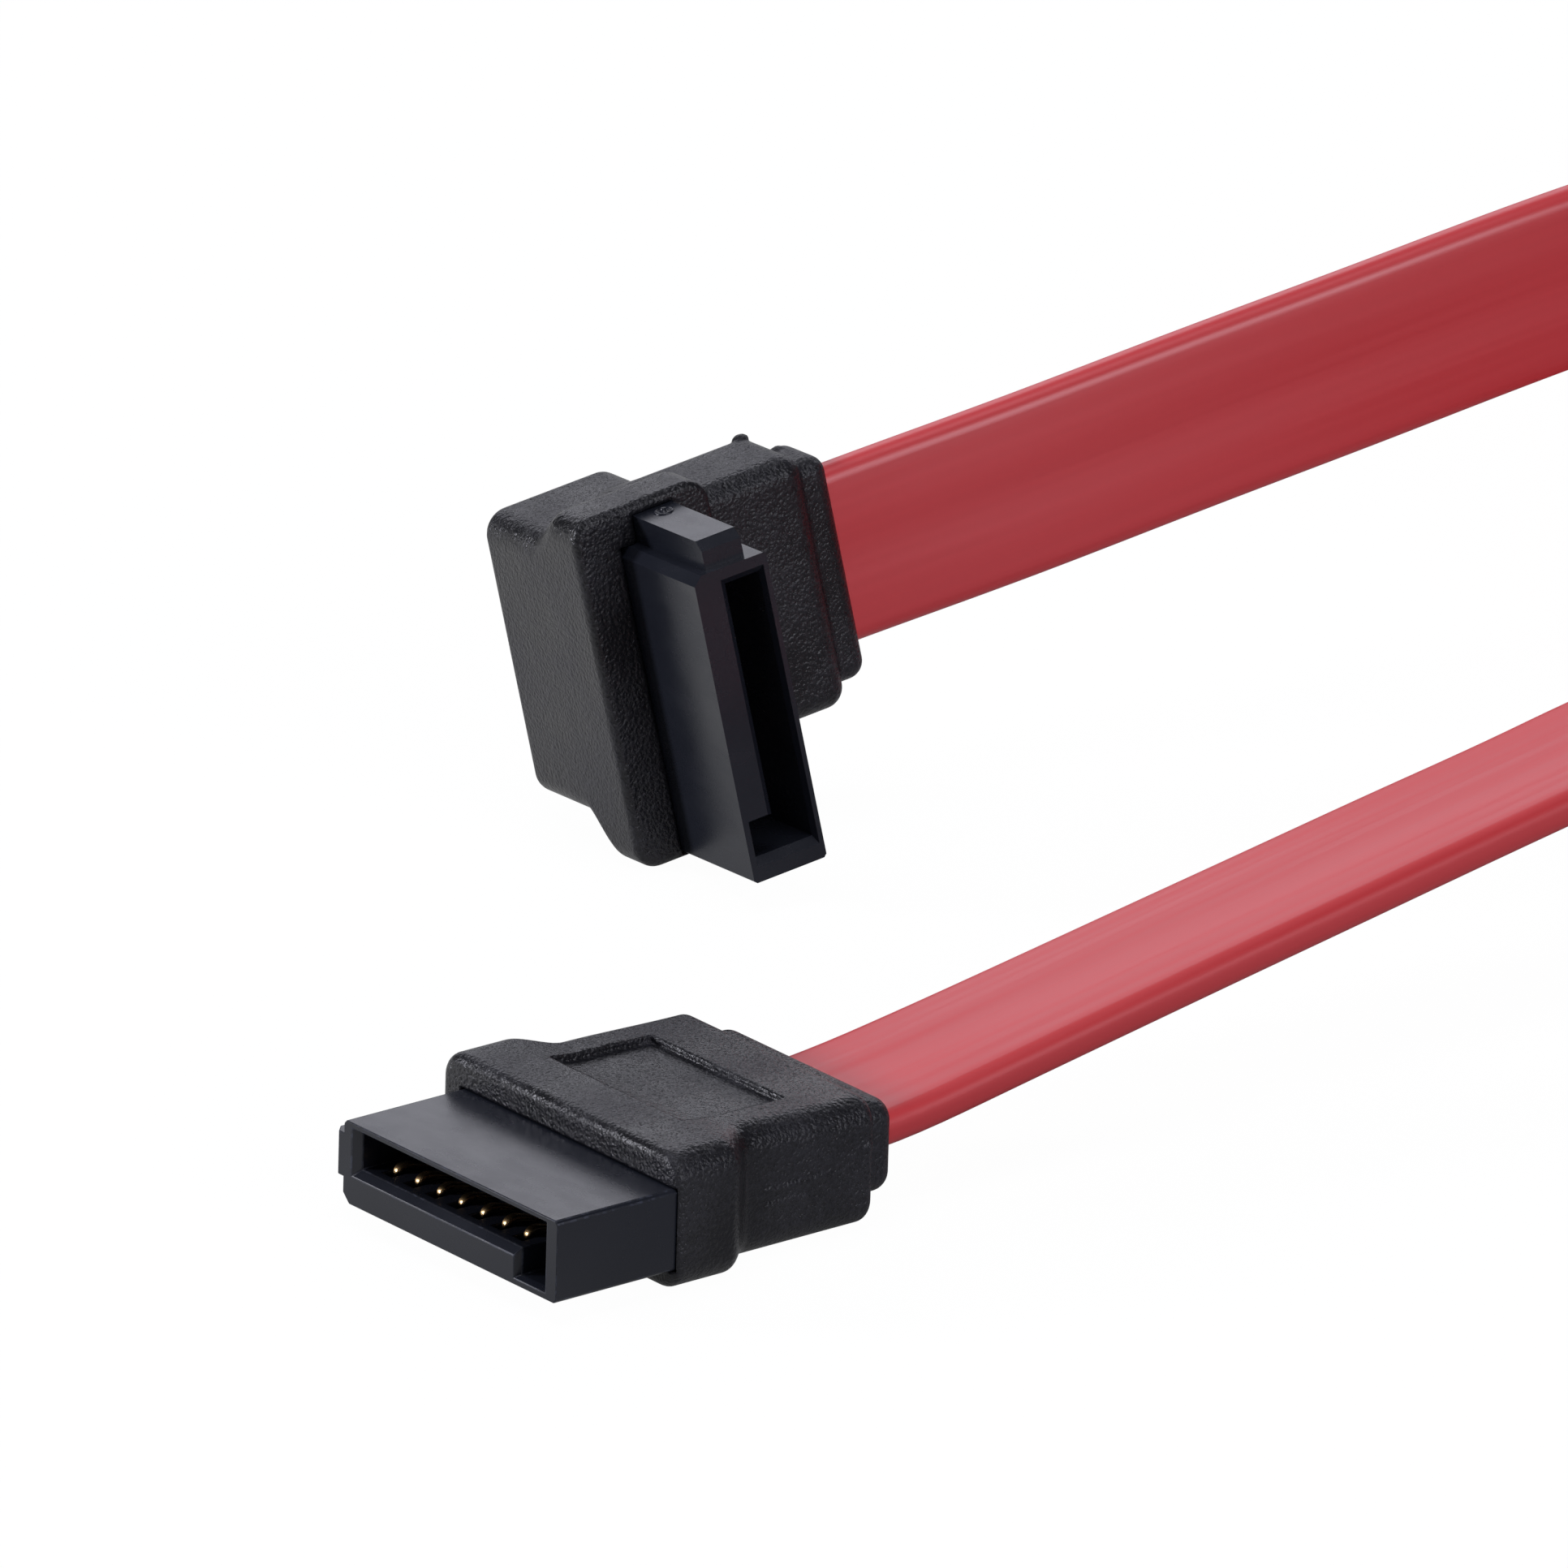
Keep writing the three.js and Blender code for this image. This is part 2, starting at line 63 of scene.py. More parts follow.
class CableRibbonSizes(bpy.types.PropertyGroup):
    """Section and finish of the flat ribbon"""

    width: bpy.props.FloatProperty(
        name="Width", description="Width of the flat ribbon",
        default=7.1 * MM, min=1 * MM, unit="LENGTH")
    thickness: bpy.props.FloatProperty(
        name="Thickness", description="Thickness of the flat ribbon",
        default=1.4 * MM, min=0.3 * MM, unit="LENGTH")
    edge: bpy.props.FloatProperty(
        name="Edge radius", description="Rounding of the ribbon's long edges",
        default=0.6 * MM, min=0.05 * MM, unit="LENGTH")
    swell: bpy.props.FloatProperty(
        name="Swell", description="How far the wire pairs lift the faces of the ribbon",
        default=0.035 * MM, min=0, unit="LENGTH")
    step: bpy.props.FloatProperty(
        name="Step", description="Distance between the ribbon's sections along its length",
        default=1.0 * MM, min=0.2 * MM, unit="LENGTH")
    coil_radius: bpy.props.FloatProperty(
        name="Coil radius", description="Radius of the coil's innermost turn",
        default=34.2 * MM, min=10 * MM, unit="LENGTH")
    coil_growth: bpy.props.FloatProperty(
        name="Coil growth",
        description="How much the coil's radius grows from its first turn to its last",
        default=2.7 * MM, min=0, unit="LENGTH")


class CablePlugSizes(bpy.types.PropertyGroup):
    """Sizes of the contacts and of the edges of the moulded pieces"""

    contact_count: bpy.props.IntProperty(
        name="Contacts", description="Contacts in one plug", default=7, min=1)
    contact_pitch: bpy.props.FloatProperty(
        name="Pitch", description="Distance between two contacts",
        default=1.27 * MM, min=0.5 * MM, unit="LENGTH")
    body_edge: bpy.props.FloatProperty(
        name="Body edge", description="Width of the bevel on the hard plug body's edges",
        default=0.045 * MM, min=0.005 * MM, unit="LENGTH")
    grip_round: bpy.props.FloatProperty(
        name="Grip rounding", description="Radius of the grip's outer edges",
        default=0.85 * MM, min=0.1 * MM, unit="LENGTH")
    grip_step: bpy.props.FloatProperty(
        name="Grip step", description="Distance between the grip's mesh points",
        default=0.11 * MM, min=0.05 * MM, unit="LENGTH")


class CableColours(bpy.types.PropertyGroup):
    """Colours of the cable's pieces"""

    jacket: bpy.props.FloatVectorProperty(
        name="Jacket", description="Red of the ribbon's jacket",
        subtype="COLOR", size=3, min=0, max=1, default=(0.76, 0.043, 0.052))
    grip: bpy.props.FloatVectorProperty(
        name="Grip", description="Black of the soft grips",
        subtype="COLOR", size=3, min=0, max=1, default=(0.013, 0.013, 0.016))
    plug_body: bpy.props.FloatVectorProperty(
        name="Plug body", description="Bluish black of the hard plug bodies",
        subtype="COLOR", size=3, min=0, max=1, default=(0.014, 0.016, 0.023))
    plating: bpy.props.FloatVectorProperty(
        name="Plating", description="Colour of the contacts' plating",
        subtype="COLOR", size=3, min=0, max=1, default=(0.86, 0.56, 0.27))
    floor: bpy.props.FloatVectorProperty(
        name="Floor", description="Colour of the floor",
        subtype="COLOR", size=3, min=0, max=1, default=(0.86, 0.86, 0.86))


# Small tools


def link(mesh, name):
    piece = bpy.data.objects.new(name, mesh)
    bpy.context.scene.collection.objects.link(piece)
    return piece


def mesh_from(name, points, faces):
    mesh = bpy.data.meshes.new(name)
    mesh.from_pydata(np.asarray(points).tolist(), [], faces)
    mesh.update()
    return mesh


def moved(points, matrix):
    """Points as rows, taken through a 4 by 4 matrix."""
    turn = np.array(matrix)
    return points @ turn[:3, :3].T + turn[:3, 3]


def unit_rows(vectors):
    return vectors / np.linalg.norm(vectors, axis=1)[:, None]


def lengths_along(points):
    """Distance from the first point to each point, along the line through them."""
    return np.concatenate([[0], np.cumsum(np.linalg.norm(np.diff(points, axis=0), axis=1))])


def rounded_corners(half_w, half_h, radius, arc):
    """The four corners of a rounded rectangle, as lists of points, from the lower right one."""
    corners = []
    for quarter, (sx, sy) in enumerate(((1, -1), (1, 1), (-1, 1), (-1, -1))):
        angles = [(quarter - 1 + i / arc) * math.pi / 2 for i in range(arc + 1)]
        corners.append([(sx * (half_w - radius) + radius * math.cos(angle),
                         sy * (half_h - radius) + radius * math.sin(angle)) for angle in angles])
    return corners


def swept_faces(count, size):
    """Faces of a solid swept through a number of rings, with its two ends last."""
    faces = []
    for ring, i in itertools.product(range(count - 1), range(size)):
        a, b = ring * size + i, ring * size + (i + 1) % size
        faces.append((a, b, b + size, a + size))
    faces.append(tuple(reversed(range(size))))
    faces.append(tuple(range((count - 1) * size, count * size)))
    return faces


def bake_modifiers(piece):
    """Turns what the modifiers show into the piece's own plain mesh, and removes them."""
    graph = bpy.context.evaluated_depsgraph_get()
    graph.update()
    mesh = bpy.data.meshes.new_from_object(piece.evaluated_get(graph))
    piece.modifiers.clear()
    old = piece.data
    piece.data = mesh
    if old.users == 0:
        bpy.data.meshes.remove(old)
    mesh.name = piece.name


def finish_piece(piece, material, nodes):
    """Gives a piece its material and body, and hides the loaded nodes that it stands for."""
    piece.data.materials.clear()
    piece.data.materials.append(material)
    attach(piece, "root")
    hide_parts(*nodes)


# Places of the two plugs

STRAIGHT_PLACE = Vector((-5, 0, 2.45)) * MM
ELBOW_PLACE = Vector((23.1, 28, 6.935)) * MM
ELBOW_HEADING, ELBOW_RISE, ELBOW_LEAN = (math.radians(a) for a in (-7.85, 10.46, -6.45))


def axes_matrix(x, y, z, place):
    turn = Matrix((x, y, z)).transposed().to_4x4()
    return Matrix.Translation(place) @ turn @ Matrix.Diagonal((MM, MM, MM, 1))


def plug_matrix(plug):
    """From a plug's own axes in millimetres to the frame in metres."""
    if plug == "straight":
        return axes_matrix((0, -1, 0), (0, 0, 1), (-1, 0, 0), STRAIGHT_PLACE)
    upright = axes_matrix((0, 0, -1), (1, 0, 0), (0, -1, 0), Vector((0, 0, 0)))
    turned = (Matrix.Rotation(ELBOW_HEADING, 4, "Z")
              @ Matrix.Rotation(-ELBOW_RISE, 4, "Y")
              @ Matrix.Rotation(ELBOW_LEAN, 4, "X"))
    return Matrix.Translation(ELBOW_PLACE) @ turned @ upright


# Materials


class Wire:
    """A shader socket that takes part in Python sums."""

    def __init__(self, build, socket):
        self.build = build
        self.socket = socket

    def _math(self, operation, first, second):
        return self.build.node("ShaderNodeMath", {"operation": operation}, {0: first, 1: second})

    def __add__(self, other):
        return self._math("ADD", self, other)

    def __radd__(self, other):
        return self._math("ADD", other, self)

    def __sub__(self, other):
        return self._math("SUBTRACT", self, other)

    def __rsub__(self, other):
        return self._math("SUBTRACT", other, self)

    def __mul__(self, other):
        return self._math("MULTIPLY", self, other)

    def __rmul__(self, other):
        return self._math("MULTIPLY", other, self)


class Finish:
    """A material's node tree, with one method that adds any node."""

    def __init__(self, name):
        self.material = bpy.data.materials.new(name)
        self.material.use_nodes = True
        self.tree = self.material.node_tree
        self.tree.nodes.clear()

    def node(self, kind, settings=None, inputs=None, output=0):
        node = self.tree.nodes.new(kind)
        for name, value in (settings or {}).items():
            setattr(node, name, value)
        for key, value in (inputs or {}).items():
            self.feed(node.inputs[key], value)
        return Wire(self, node.outputs[output]) if node.outputs else None

    def feed(self, socket, value):
        if isinstance(value, Wire):
            self.tree.links.new(value.socket, socket)
        elif socket.type == "RGBA" and len(value) == 3:
            socket.default_value = (*value, 1)
        else:
            socket.default_value = value

    def object_place(self, scale=(1, 1, 1)):
        where = self.node("ShaderNodeTexCoord", output="Object")
        return self.node("ShaderNodeMapping", inputs={"Vector": where, "Scale": scale})

    def uv_place(self, scale=(1, 1, 1)):
        where = self.node("ShaderNodeUVMap", {"uv_map": "along"})
        return self.node("ShaderNodeMapping", inputs={"Vector": where, "Scale": scale})

    def noise(self, where, scale, detail=3, roughness=0.5):
        return self.node("ShaderNodeTexNoise", inputs={
            "Vector": where, "Scale": scale, "Detail": detail, "Roughness": roughness})

    def cells(self, where, scale):
        return self.node("ShaderNodeTexVoronoi", inputs={"Vector": where, "Scale": scale})

    def spread(self, value, low, high, to_low, to_high):
        return self.node("ShaderNodeMapRange", inputs={
            "Value": value, "From Min": low, "From Max": high,
            "To Min": to_low, "To Max": to_high})

    def mix(self, factor, first, second):
        return self.node("ShaderNodeMix", {"data_type": "RGBA"},
                         {0: factor, 6: first, 7: second}, output=2)

    def bump(self, height, distance, strength=1.0):
        return self.node("ShaderNodeBump", inputs={
            "Height": height, "Distance": distance, "Strength": strength})

    def surface(self, **inputs):
        shader = self.node("ShaderNodeBsdfPrincipled", inputs={
            name.replace("_", " "): value for name, value in inputs.items()})
        return self.close(shader)

    def close(self, shader):
        self.node("ShaderNodeOutputMaterial", inputs={"Surface": shader})
        return self.material


def shade(colour, factor):
    return tuple(channel * factor for channel in colour)


GRAIN = 1 / (0.12 * MM)     # cells of the moulded leather grain in one metre
SMUDGE = 1 / (4 * MM)       # slow variation of a surface
FINE = 1 / (0.06 * MM)      # the finest roughness of a surface
FLOW = 1 / (1.2 * MM)       # marks of the plastic's flow
CHIPS = 1 / (0.3 * MM)      # worn spots along an edge
STREAKS = (30, 2600, 1)     # streaks of the jacket, along it, around it and unused
BROAD_STREAKS = (18, 420, 1)
WEAR_SHADE = 9              # how much paler a worn edge is
INNER_LOW, INNER_HIGH = (0.62, 0.6, 0.52), (0.74, 0.72, 0.64)
FLOOR_DIM, FLOOR_MIRRORED = 0.4, 0.5        # shares of its colour, as light and mirrored
FLOOR_GLOW = 1.02           # what the camera sees of the floor, a little over white
PAINTED_REFLECTION_SIDE = (-0.7, 0.7, 0)                 # towards the side where the floor glows brighter in mirrored rays, a painted reflection
PAINTED_REFLECTION_START, PAINTED_REFLECTION_END, PAINTED_REFLECTION_GLOW = -0.012, 0.016, 0.55    # in metres, and its share of white, for the painted reflection


def grip_finish(colours):
    """Soft black moulding with a leather grain that glints, a little paler on its high spots."""
    f = Finish("grip")
    where = f.object_place()
    grain = f.noise(where, GRAIN, 2, 0.55)
    pits = f.cells(where, GRAIN * 0.7)
    slow = f.noise(where, SMUDGE, 3)
    height = (grain * 1.1 + pits * 0.6) * f.spread(slow, 0.35, 0.65, 0.6, 1.2)
    tone = f.spread(height, 0.6, 1.2, 0.0, 1.0)
    colour = f.mix(tone, shade(colours.grip, 0.7), shade(colours.grip, 1.9))
    roughness = f.spread(slow, 0.3, 0.7, 0.25, 0.33) + tone * 0.06
    return f.surface(Base_Color=colour, Roughness=roughness, Specular_IOR_Level=0.4,
                     Normal=f.bump(height, 0.05 * MM))


def body_finish(colours):
    """Hard satin plastic with faint flow marks and smudges, and pale wear along its edges."""
    f = Finish("plug_body")
    where = f.object_place()
    slow = f.noise(where, SMUDGE, 4, 0.6)
    flow = f.noise(f.object_place((1, 0.25, 1)), FLOW, 3, 0.6)
    fine = f.noise(where, FINE, 2)
    edge = f.node("ShaderNodeAttribute", {"attribute_name": "edge"}, output="Fac")
    chips = f.spread(f.noise(where, CHIPS, 4, 0.7), 0.5, 0.6, 0.0, 1.0)
    worn = edge * chips
    plain = f.mix(slow, shade(colours.plug_body, 0.85), shade(colours.plug_body, 1.25))
    colour = f.mix(worn * 0.22, plain, shade(colours.plug_body, WEAR_SHADE))
    roughness = (f.spread(slow, 0.3, 0.7, 0.19, 0.28) + f.spread(flow, 0.4, 0.7, 0.0, 0.06)
                 + edge * 0.15 + worn * 0.1)
    return f.surface(Base_Color=colour, Roughness=roughness, Specular_IOR_Level=0.4,
                     Normal=f.bump(fine * 0.6 + flow * 0.4, 0.005 * MM))


def jacket_finish(colours):
    """Red soft jacket, satin, with faint streaks along its length."""
    f = Finish("ribbon")
    streak = f.noise(f.uv_place(STREAKS), 1.0, 4, 0.55)
    broad = f.noise(f.uv_place(BROAD_STREAKS), 1.0, 2)
    fine = f.noise(f.object_place(), FINE * 0.6, 2)
    tone = streak * 0.55 + broad * 0.45
    colour = f.mix(f.spread(tone, 0.35, 0.65, 0.0, 1.0),
                   shade(colours.jacket, 0.96), shade(colours.jacket, 1.04))
    roughness = f.spread(streak, 0.3, 0.7, 0.35, 0.45)
    return f.surface(Base_Color=colour, Roughness=roughness, Specular_IOR_Level=1.0,
                     Normal=f.bump(streak * 0.7 + fine * 0.3, 0.008 * MM, 0.7))


def contact_finish(colours):
    """Thin bright plating, worn a little redder in patches."""
    f = Finish("contact")
    where = f.object_place()
    wear = f.noise(where, 1 / (0.5 * MM), 3)
    colour = f.mix(wear, colours.plating, shade(colours.plating, 0.8))
    return f.surface(Base_Color=colour, Metallic=1.0,
                     Roughness=f.spread(wear, 0.3, 0.7, 0.2, 0.32),
                     Normal=f.bump(f.noise(where, FINE, 2), 0.003 * MM, 0.5))


def inner_finish():
    """Pale moulding over the soldered ends."""
    f = Finish("inner_block")
    mottle = f.noise(f.object_place(), 1 / (0.8 * MM), 4)
    colour = f.mix(mottle, INNER_LOW, INNER_HIGH)
    return f.surface(Base_Color=colour, Roughness=f.spread(mottle, 0.3, 0.7, 0.5, 0.62),
                     Normal=f.bump(mottle, 0.02 * MM, 0.5))


def tie_finish(colours):
    """Thin black band, a little mottled."""
    f = Finish("tie")
    mottle = f.noise(f.object_place(), 1 / (0.3 * MM), 3)
    colour = f.mix(mottle, shade(colours.grip, 0.8), shade(colours.grip, 1.5))
    return f.surface(Base_Color=colour, Roughness=f.spread(mottle, 0.3, 0.7, 0.38, 0.5),
                     Normal=f.bump(mottle, 0.01 * MM, 0.6))


def floor_finish(colours, glow):
    """Pale floor that the camera sees near white, with a trace of the object's shadow.

    Mirrored rays see it glow white, more and more towards the far left side: a painted reflection
    that lightens the glossy faces turned to it.
    """
    f = Finish("floor")
    seen = f.node("ShaderNodeLightPath", output="Is Camera Ray")
    mirrored = f.node("ShaderNodeLightPath", output="Is Glossy Ray")
    across = f.node("ShaderNodeVectorMath", {"operation": "DOT_PRODUCT"},
                    {0: f.object_place(), 1: PAINTED_REFLECTION_SIDE}, output="Value")
    # painted reflection: a white glow that only mirrored rays see, rising across the floor
    sweep = f.spread(across, PAINTED_REFLECTION_START, PAINTED_REFLECTION_END, 0.0, PAINTED_REFLECTION_GLOW)
    bounced = f.mix(mirrored, shade(colours.floor, FLOOR_DIM),
                    shade(colours.floor, FLOOR_MIRRORED))
    colour = f.mix(seen, bounced, colours.floor)
    plain = f.node("ShaderNodeBsdfDiffuse", inputs={"Color": colour})
    white = f.node("ShaderNodeEmission", inputs={"Color": (1, 1, 1), "Strength": FLOOR_GLOW})
    # the camera sees the even white glow; mirrored rays see it only where the painted reflection
    # rises
    return f.close(f.node("ShaderNodeMixShader", inputs={
        0: seen * glow + mirrored * sweep, 1: plain, 2: white}))


# Ribbon

# The middle of the ribbon in millimetres and its turn in degrees, 0 flat and 90 on edge,
# from the right-angle grip to the coil, and from the coil to the straight grip
ELBOW_RUN = [
    (28.52, 30.37, 9.38, 83.5), (31.44, 29.96, 9.92, 83.5), (38.85, 28.54, 11.4, 83.2),
    (46.58, 27.11, 13.04, 83.7), (54.31, 25.7, 14.63, 84.6), (61.7, 24.5, 16.09, 85.4),
    (69, 23.9, 16.9, 86.5), (76.5, 24.8, 16.2, 88), (84, 27.4, 13.6, 89), (91.5, 31.2, 10.4, 90),
    (99, 34.9, 7.7, 90), (106.5, 38, 5.8, 90), (114, 40.1, 4.75, 90), (119.8, 40.4, 4.25, 90),
    (124.4, 39, 4.15, 90), (129.3, 35.9, 4.15, 90),
]
STRAIGHT_RUN = [
    (72.2, -8.9, 4.5, 89), (68, -6.1, 5.6, 80), (64, -4.2, 7.2, 64), (60, -2.8, 8.9, 42),
    (54, -1.2, 9.9, 17), (48, -0.5, 9.46, 5), (42, -0.45, 8.49, 4), (36, -0.45, 7.52, 3.7),
    (30, -0.45, 6.53, 3.3), (24, -0.45, 5.54, 2.9), (18, -0.45, 4.54, 2.4),
    (12, -0.45, 3.55, 1.4), (6.5, -0.45, 2.85, 0), (3.5, -0.45, 2.78, 0),
]
COIL_CENTRE = (104, 14)
COIL_HEIGHT = 4.15
COIL_START, COIL_END = 30, 235      # degrees around the centre
COIL_TURNS = 1                      # whole turns besides the part turn between the two
COIL_POINTS = 24                    # points in one turn


def coil_points(sizes):
    sweep = COIL_START - (COIL_END - 360) + 360 * COIL_TURNS
    count = round(COIL_POINTS * sweep / 360)
    points = []
    for i in range(count + 1):
        share = i / count
        angle = math.radians(COIL_START - sweep * share)
        radius = (sizes.coil_radius + sizes.coil_growth * share) / MM
        points.append((COIL_CENTRE[0] + radius * math.cos(angle),
                       COIL_CENTRE[1] + radius * math.sin(angle), COIL_HEIGHT, 90))
    return points


def spline_through(points, step):
    """Samples a smooth line through points, as near as can be to one step apart."""
    points = np.asarray(points, float)
    gaps = np.linalg.norm(np.diff(points[:, :3], axis=0), axis=1)
    place = lengths_along(points[:, :3])
    count = len(points)
    system = np.zeros((count, count))
    right = np.zeros((count, points.shape[1]))
    system[0, 0] = system[-1, -1] = 1
    for i in range(1, count - 1):
        before, after = gaps[i - 1], gaps[i]
        system[i, i - 1:i + 2] = before, 2 * (before + after), after
        right[i] = 6 * ((points[i + 1] - points[i]) / after - (points[i] - points[i - 1]) / before)
    bend = np.linalg.solve(system, right)
    samples = np.linspace(0, place[-1], max(2, round(place[-1] / step)) + 1)
    k = np.clip(np.searchsorted(place, samples, side="right") - 1, 0, count - 2)
    gap = gaps[k][:, None]
    t = (samples - place[k])[:, None]
    rest = gap - t
    return (bend[k] * rest ** 3 + bend[k + 1] * t ** 3) / (6 * gap) \
        + (points[k] / gap - bend[k] * gap / 6) * rest \
        + (points[k + 1] / gap - bend[k + 1] * gap / 6) * t


def ribbon_section(sizes):
    """Outline of the ribbon, in metres: flat faces that swell over the two wire pairs."""
    arc, flat = 6, 14               # points in a corner and on a face
    half_w, half_t = sizes.width / 2, sizes.thickness / 2
    lower, upper, far_upper, far_lower = rounded_corners(half_w, half_t, sizes.edge, arc)

    def face(way):
        for i in range(1, flat):
            share = 1 - 2 * i / flat
            lift = sizes.swell * math.sin(math.pi * abs(share)) ** 2
            yield way * (half_w - sizes.edge) * share, way * (half_t + lift)

    return [*lower, *upper, *face(1), *far_upper, *far_lower, *face(-1)]


def ribbon_mesh(line, sizes):
    """Sweeps the section along the line, and returns the mesh and its path in metres."""
    centres = line[:, :3] * MM
    turns = np.radians(line[:, 3])
    along = unit_rows(np.gradient(centres, axis=0))
    across = unit_rows(np.cross((0, 0, 1), along))
    over = np.cross(along, across)
    wide = across * np.cos(turns)[:, None] + over * np.sin(turns)[:, None]
    thick = np.cross(along, wide)
    section = np.array(ribbon_section(sizes))
    rings = (centres[:, None] + wide[:, None] * section[None, :, :1]
             + thick[:, None] * section[None, :, 1:])
    count, size = rings.shape[:2]
    mesh = mesh_from("ribbon", rings.reshape(-1, 3), swept_faces(count, size))
    lengths = lengths_along(centres)
    girth = lengths_along(np.vstack([section, section[:1]]))
    layer = mesh.uv_layers.new(name="along")
    for face in mesh.polygons[:-2]:
        ring, i = divmod(face.index, size)
        corners = ((ring, i), (ring, i + 1), (ring + 1, i + 1), (ring + 1, i))
        for loop, (row, column) in zip(face.loop_indices, corners):
            layer.data[loop].uv = (lengths[row], girth[column])
    mesh.shade_smooth()
    return mesh, centres


# Forms drawn as distances: numbers below zero lie inside the form


def ramp_up(value, low, high):
    """Rises smoothly from 0 at the low value to 1 at the high value."""
    share = np.clip((value - low) / (high - low), 0, 1)
    return share * share * (3 - 2 * share)


def round_box(p, low, high, radius):
    centre = [(a + b) / 2 for a, b in zip(low, high)]
    half = [(b - a) / 2 - radius for a, b in zip(low, high)]
    q = [np.abs(p[..., i] - centre[i]) - half[i] for i in range(3)]
    outside = np.sqrt(sum(np.maximum(side, 0) ** 2 for side in q))
    return outside + np.minimum(np.maximum(np.maximum(q[0], q[1]), q[2]), 0) - radius


def pillow(p, low, high, corner, edge):
    """A block along z whose four long edges have one radius and whose ends have another."""
    centre = [(a + b) / 2 for a, b in zip(low, high)]
    reach = [np.abs(p[..., i] - centre[i]) - (high[i] - low[i]) / 2 for i in range(3)]
    x, y = reach[0] + corner, reach[1] + corner
    side = np.hypot(np.maximum(x, 0), np.maximum(y, 0)) + np.minimum(np.maximum(x, y), 0) - corner
    a, b = side + edge, reach[2] + edge
    return np.hypot(np.maximum(a, 0), np.maximum(b, 0)) + np.minimum(np.maximum(a, b), 0) - edge


def ball(p, centre, radius, stretch=(1, 1, 1)):
    q = [(p[..., i] - centre[i]) / stretch[i] for i in range(3)]
    return np.sqrt(sum(side ** 2 for side in q)) - radius


def join(a, b, blend):
    """Both forms as one, with a fillet of about the given size between them."""
    share = np.clip(0.5 + 0.5 * (b - a) / blend, 0, 1)
    return b + (a - b) * share - blend * share * (1 - share)


def cut(a, b, blend):
    """The first form without the second one."""
    return -join(-a, b, blend)


def net_over(distance, low, high, step, turns=3):
    """Closed quads over a form's surface: one point in each grid cell that the surface crosses."""
    low = np.asarray(low, float)
    axes = [np.arange(a, b + step, step) for a, b in zip(low, high)]
    field = distance(np.stack(np.meshgrid(*axes, indexing="ij"), -1))
    inside = field < 0
    size = np.array(field.shape)
    near = [inside[dx:size[0] - 1 + dx, dy:size[1] - 1 + dy, dz:size[2] - 1 + dz]
            for dx, dy, dz in itertools.product((0, 1), repeat=3)]
    filled = sum(part.astype(np.int8) for part in near)
    crossed = (filled > 0) & (filled < 8)
    cells = np.argwhere(crossed)
    number = np.full(crossed.shape, -1)
    number[crossed] = np.arange(len(cells))
    total = np.zeros(cells.shape)
    hits = np.zeros(len(cells))
    for axis in range(3):
        unit = np.eye(3, dtype=int)[axis]
        for first, second in itertools.product((0, 1), repeat=2):
            start = cells + np.insert([first, second], axis, 0)
            a, b = field[tuple(start.T)], field[tuple((start + unit).T)]
            hit = (a < 0) != (b < 0)
            share = np.where(hit, a / np.where(hit, a - b, 1), 0)
            total += np.where(hit[:, None], start + share[:, None] * unit, 0)
            hits += hit
    points = low + step * total / hits[:, None]
    for _ in range(turns):
        points = settle(distance, points, step)
    faces = []
    for axis in range(3):
        second, third = (axis + 1) % 3, (axis + 2) % 3
        unit, u2, u3 = np.eye(3, dtype=int)[[axis, second, third]]
        ahead = np.roll(inside, -1, axis)
        edges = np.argwhere(inside != ahead)
        limits = edges[:, axis] < size[axis] - 1
        for other in (second, third):
            limits &= (edges[:, other] > 0) & (edges[:, other] < size[other] - 1)
        edges = edges[limits]
        quad = np.stack([number[tuple((edges - a).T)] for a in (u2 + u3, u3, 0 * u2, u2)], 1)
        outward = inside[tuple(edges.T)]
        faces.append(np.where(outward[:, None], quad, quad[:, ::-1]))
    return points, np.concatenate(faces)


def settle(distance, points, step):
    """Moves points along the form's slope onto its surface, by no more than half a cell."""
    reach, flattest, shortest = 0.02, 0.05, 1e-9
    value = distance(points)
    slope = np.stack([
        (distance(points + reach * axis) - distance(points - reach * axis)) / (2 * reach)
        for axis in np.eye(3)], -1)
    square = np.maximum((slope ** 2).sum(-1), flattest)
    move = -(value / square)[:, None] * slope
    length = np.linalg.norm(move, axis=1, keepdims=True)
    return points + move * np.minimum(1, step / 2 / np.maximum(length, shortest))


def formed_piece(name, distance, low, high, step, matrix):
    points, faces = net_over(distance, low, high, step)
    piece = link(mesh_from(name, moved(points, matrix), faces.tolist()), name)
    piece.data.shade_smooth()
    return piece


# Grips, in a plug's own axes in millimetres

HALF_WIDTH, HALF_HEIGHT = 6.2, 1.6  # of a plug body
BODY_TAIL = 2.4                     # how far a body reaches back into its grip
RIB_RISE, RIB_WIDTH, RIB_ROOT = 1.1, 1.7, 1.2       # the key rib on a body's side
MOUTH_GAP = 0.03
ROOM_BACK, ROOM_CORNER = 0.1, 0.02  # room behind a body's tail, and its corners' radius
FAR = 9                             # well past the front of a grip
ENTRY_BLEND, MOUTH_BLEND, COLLAR_BLEND = 0.1, 0.06, 0.12    # fillets between a grip's forms


def waisted(z, flange, steps, start, run):
    """Both ends along x of a grip that narrows, over an S behind its flange, to its back."""
    narrow = 1 - ramp_up(z, start - run, start)
    return flange[0] + steps[0] * narrow, flange[1] - steps[1] * narrow


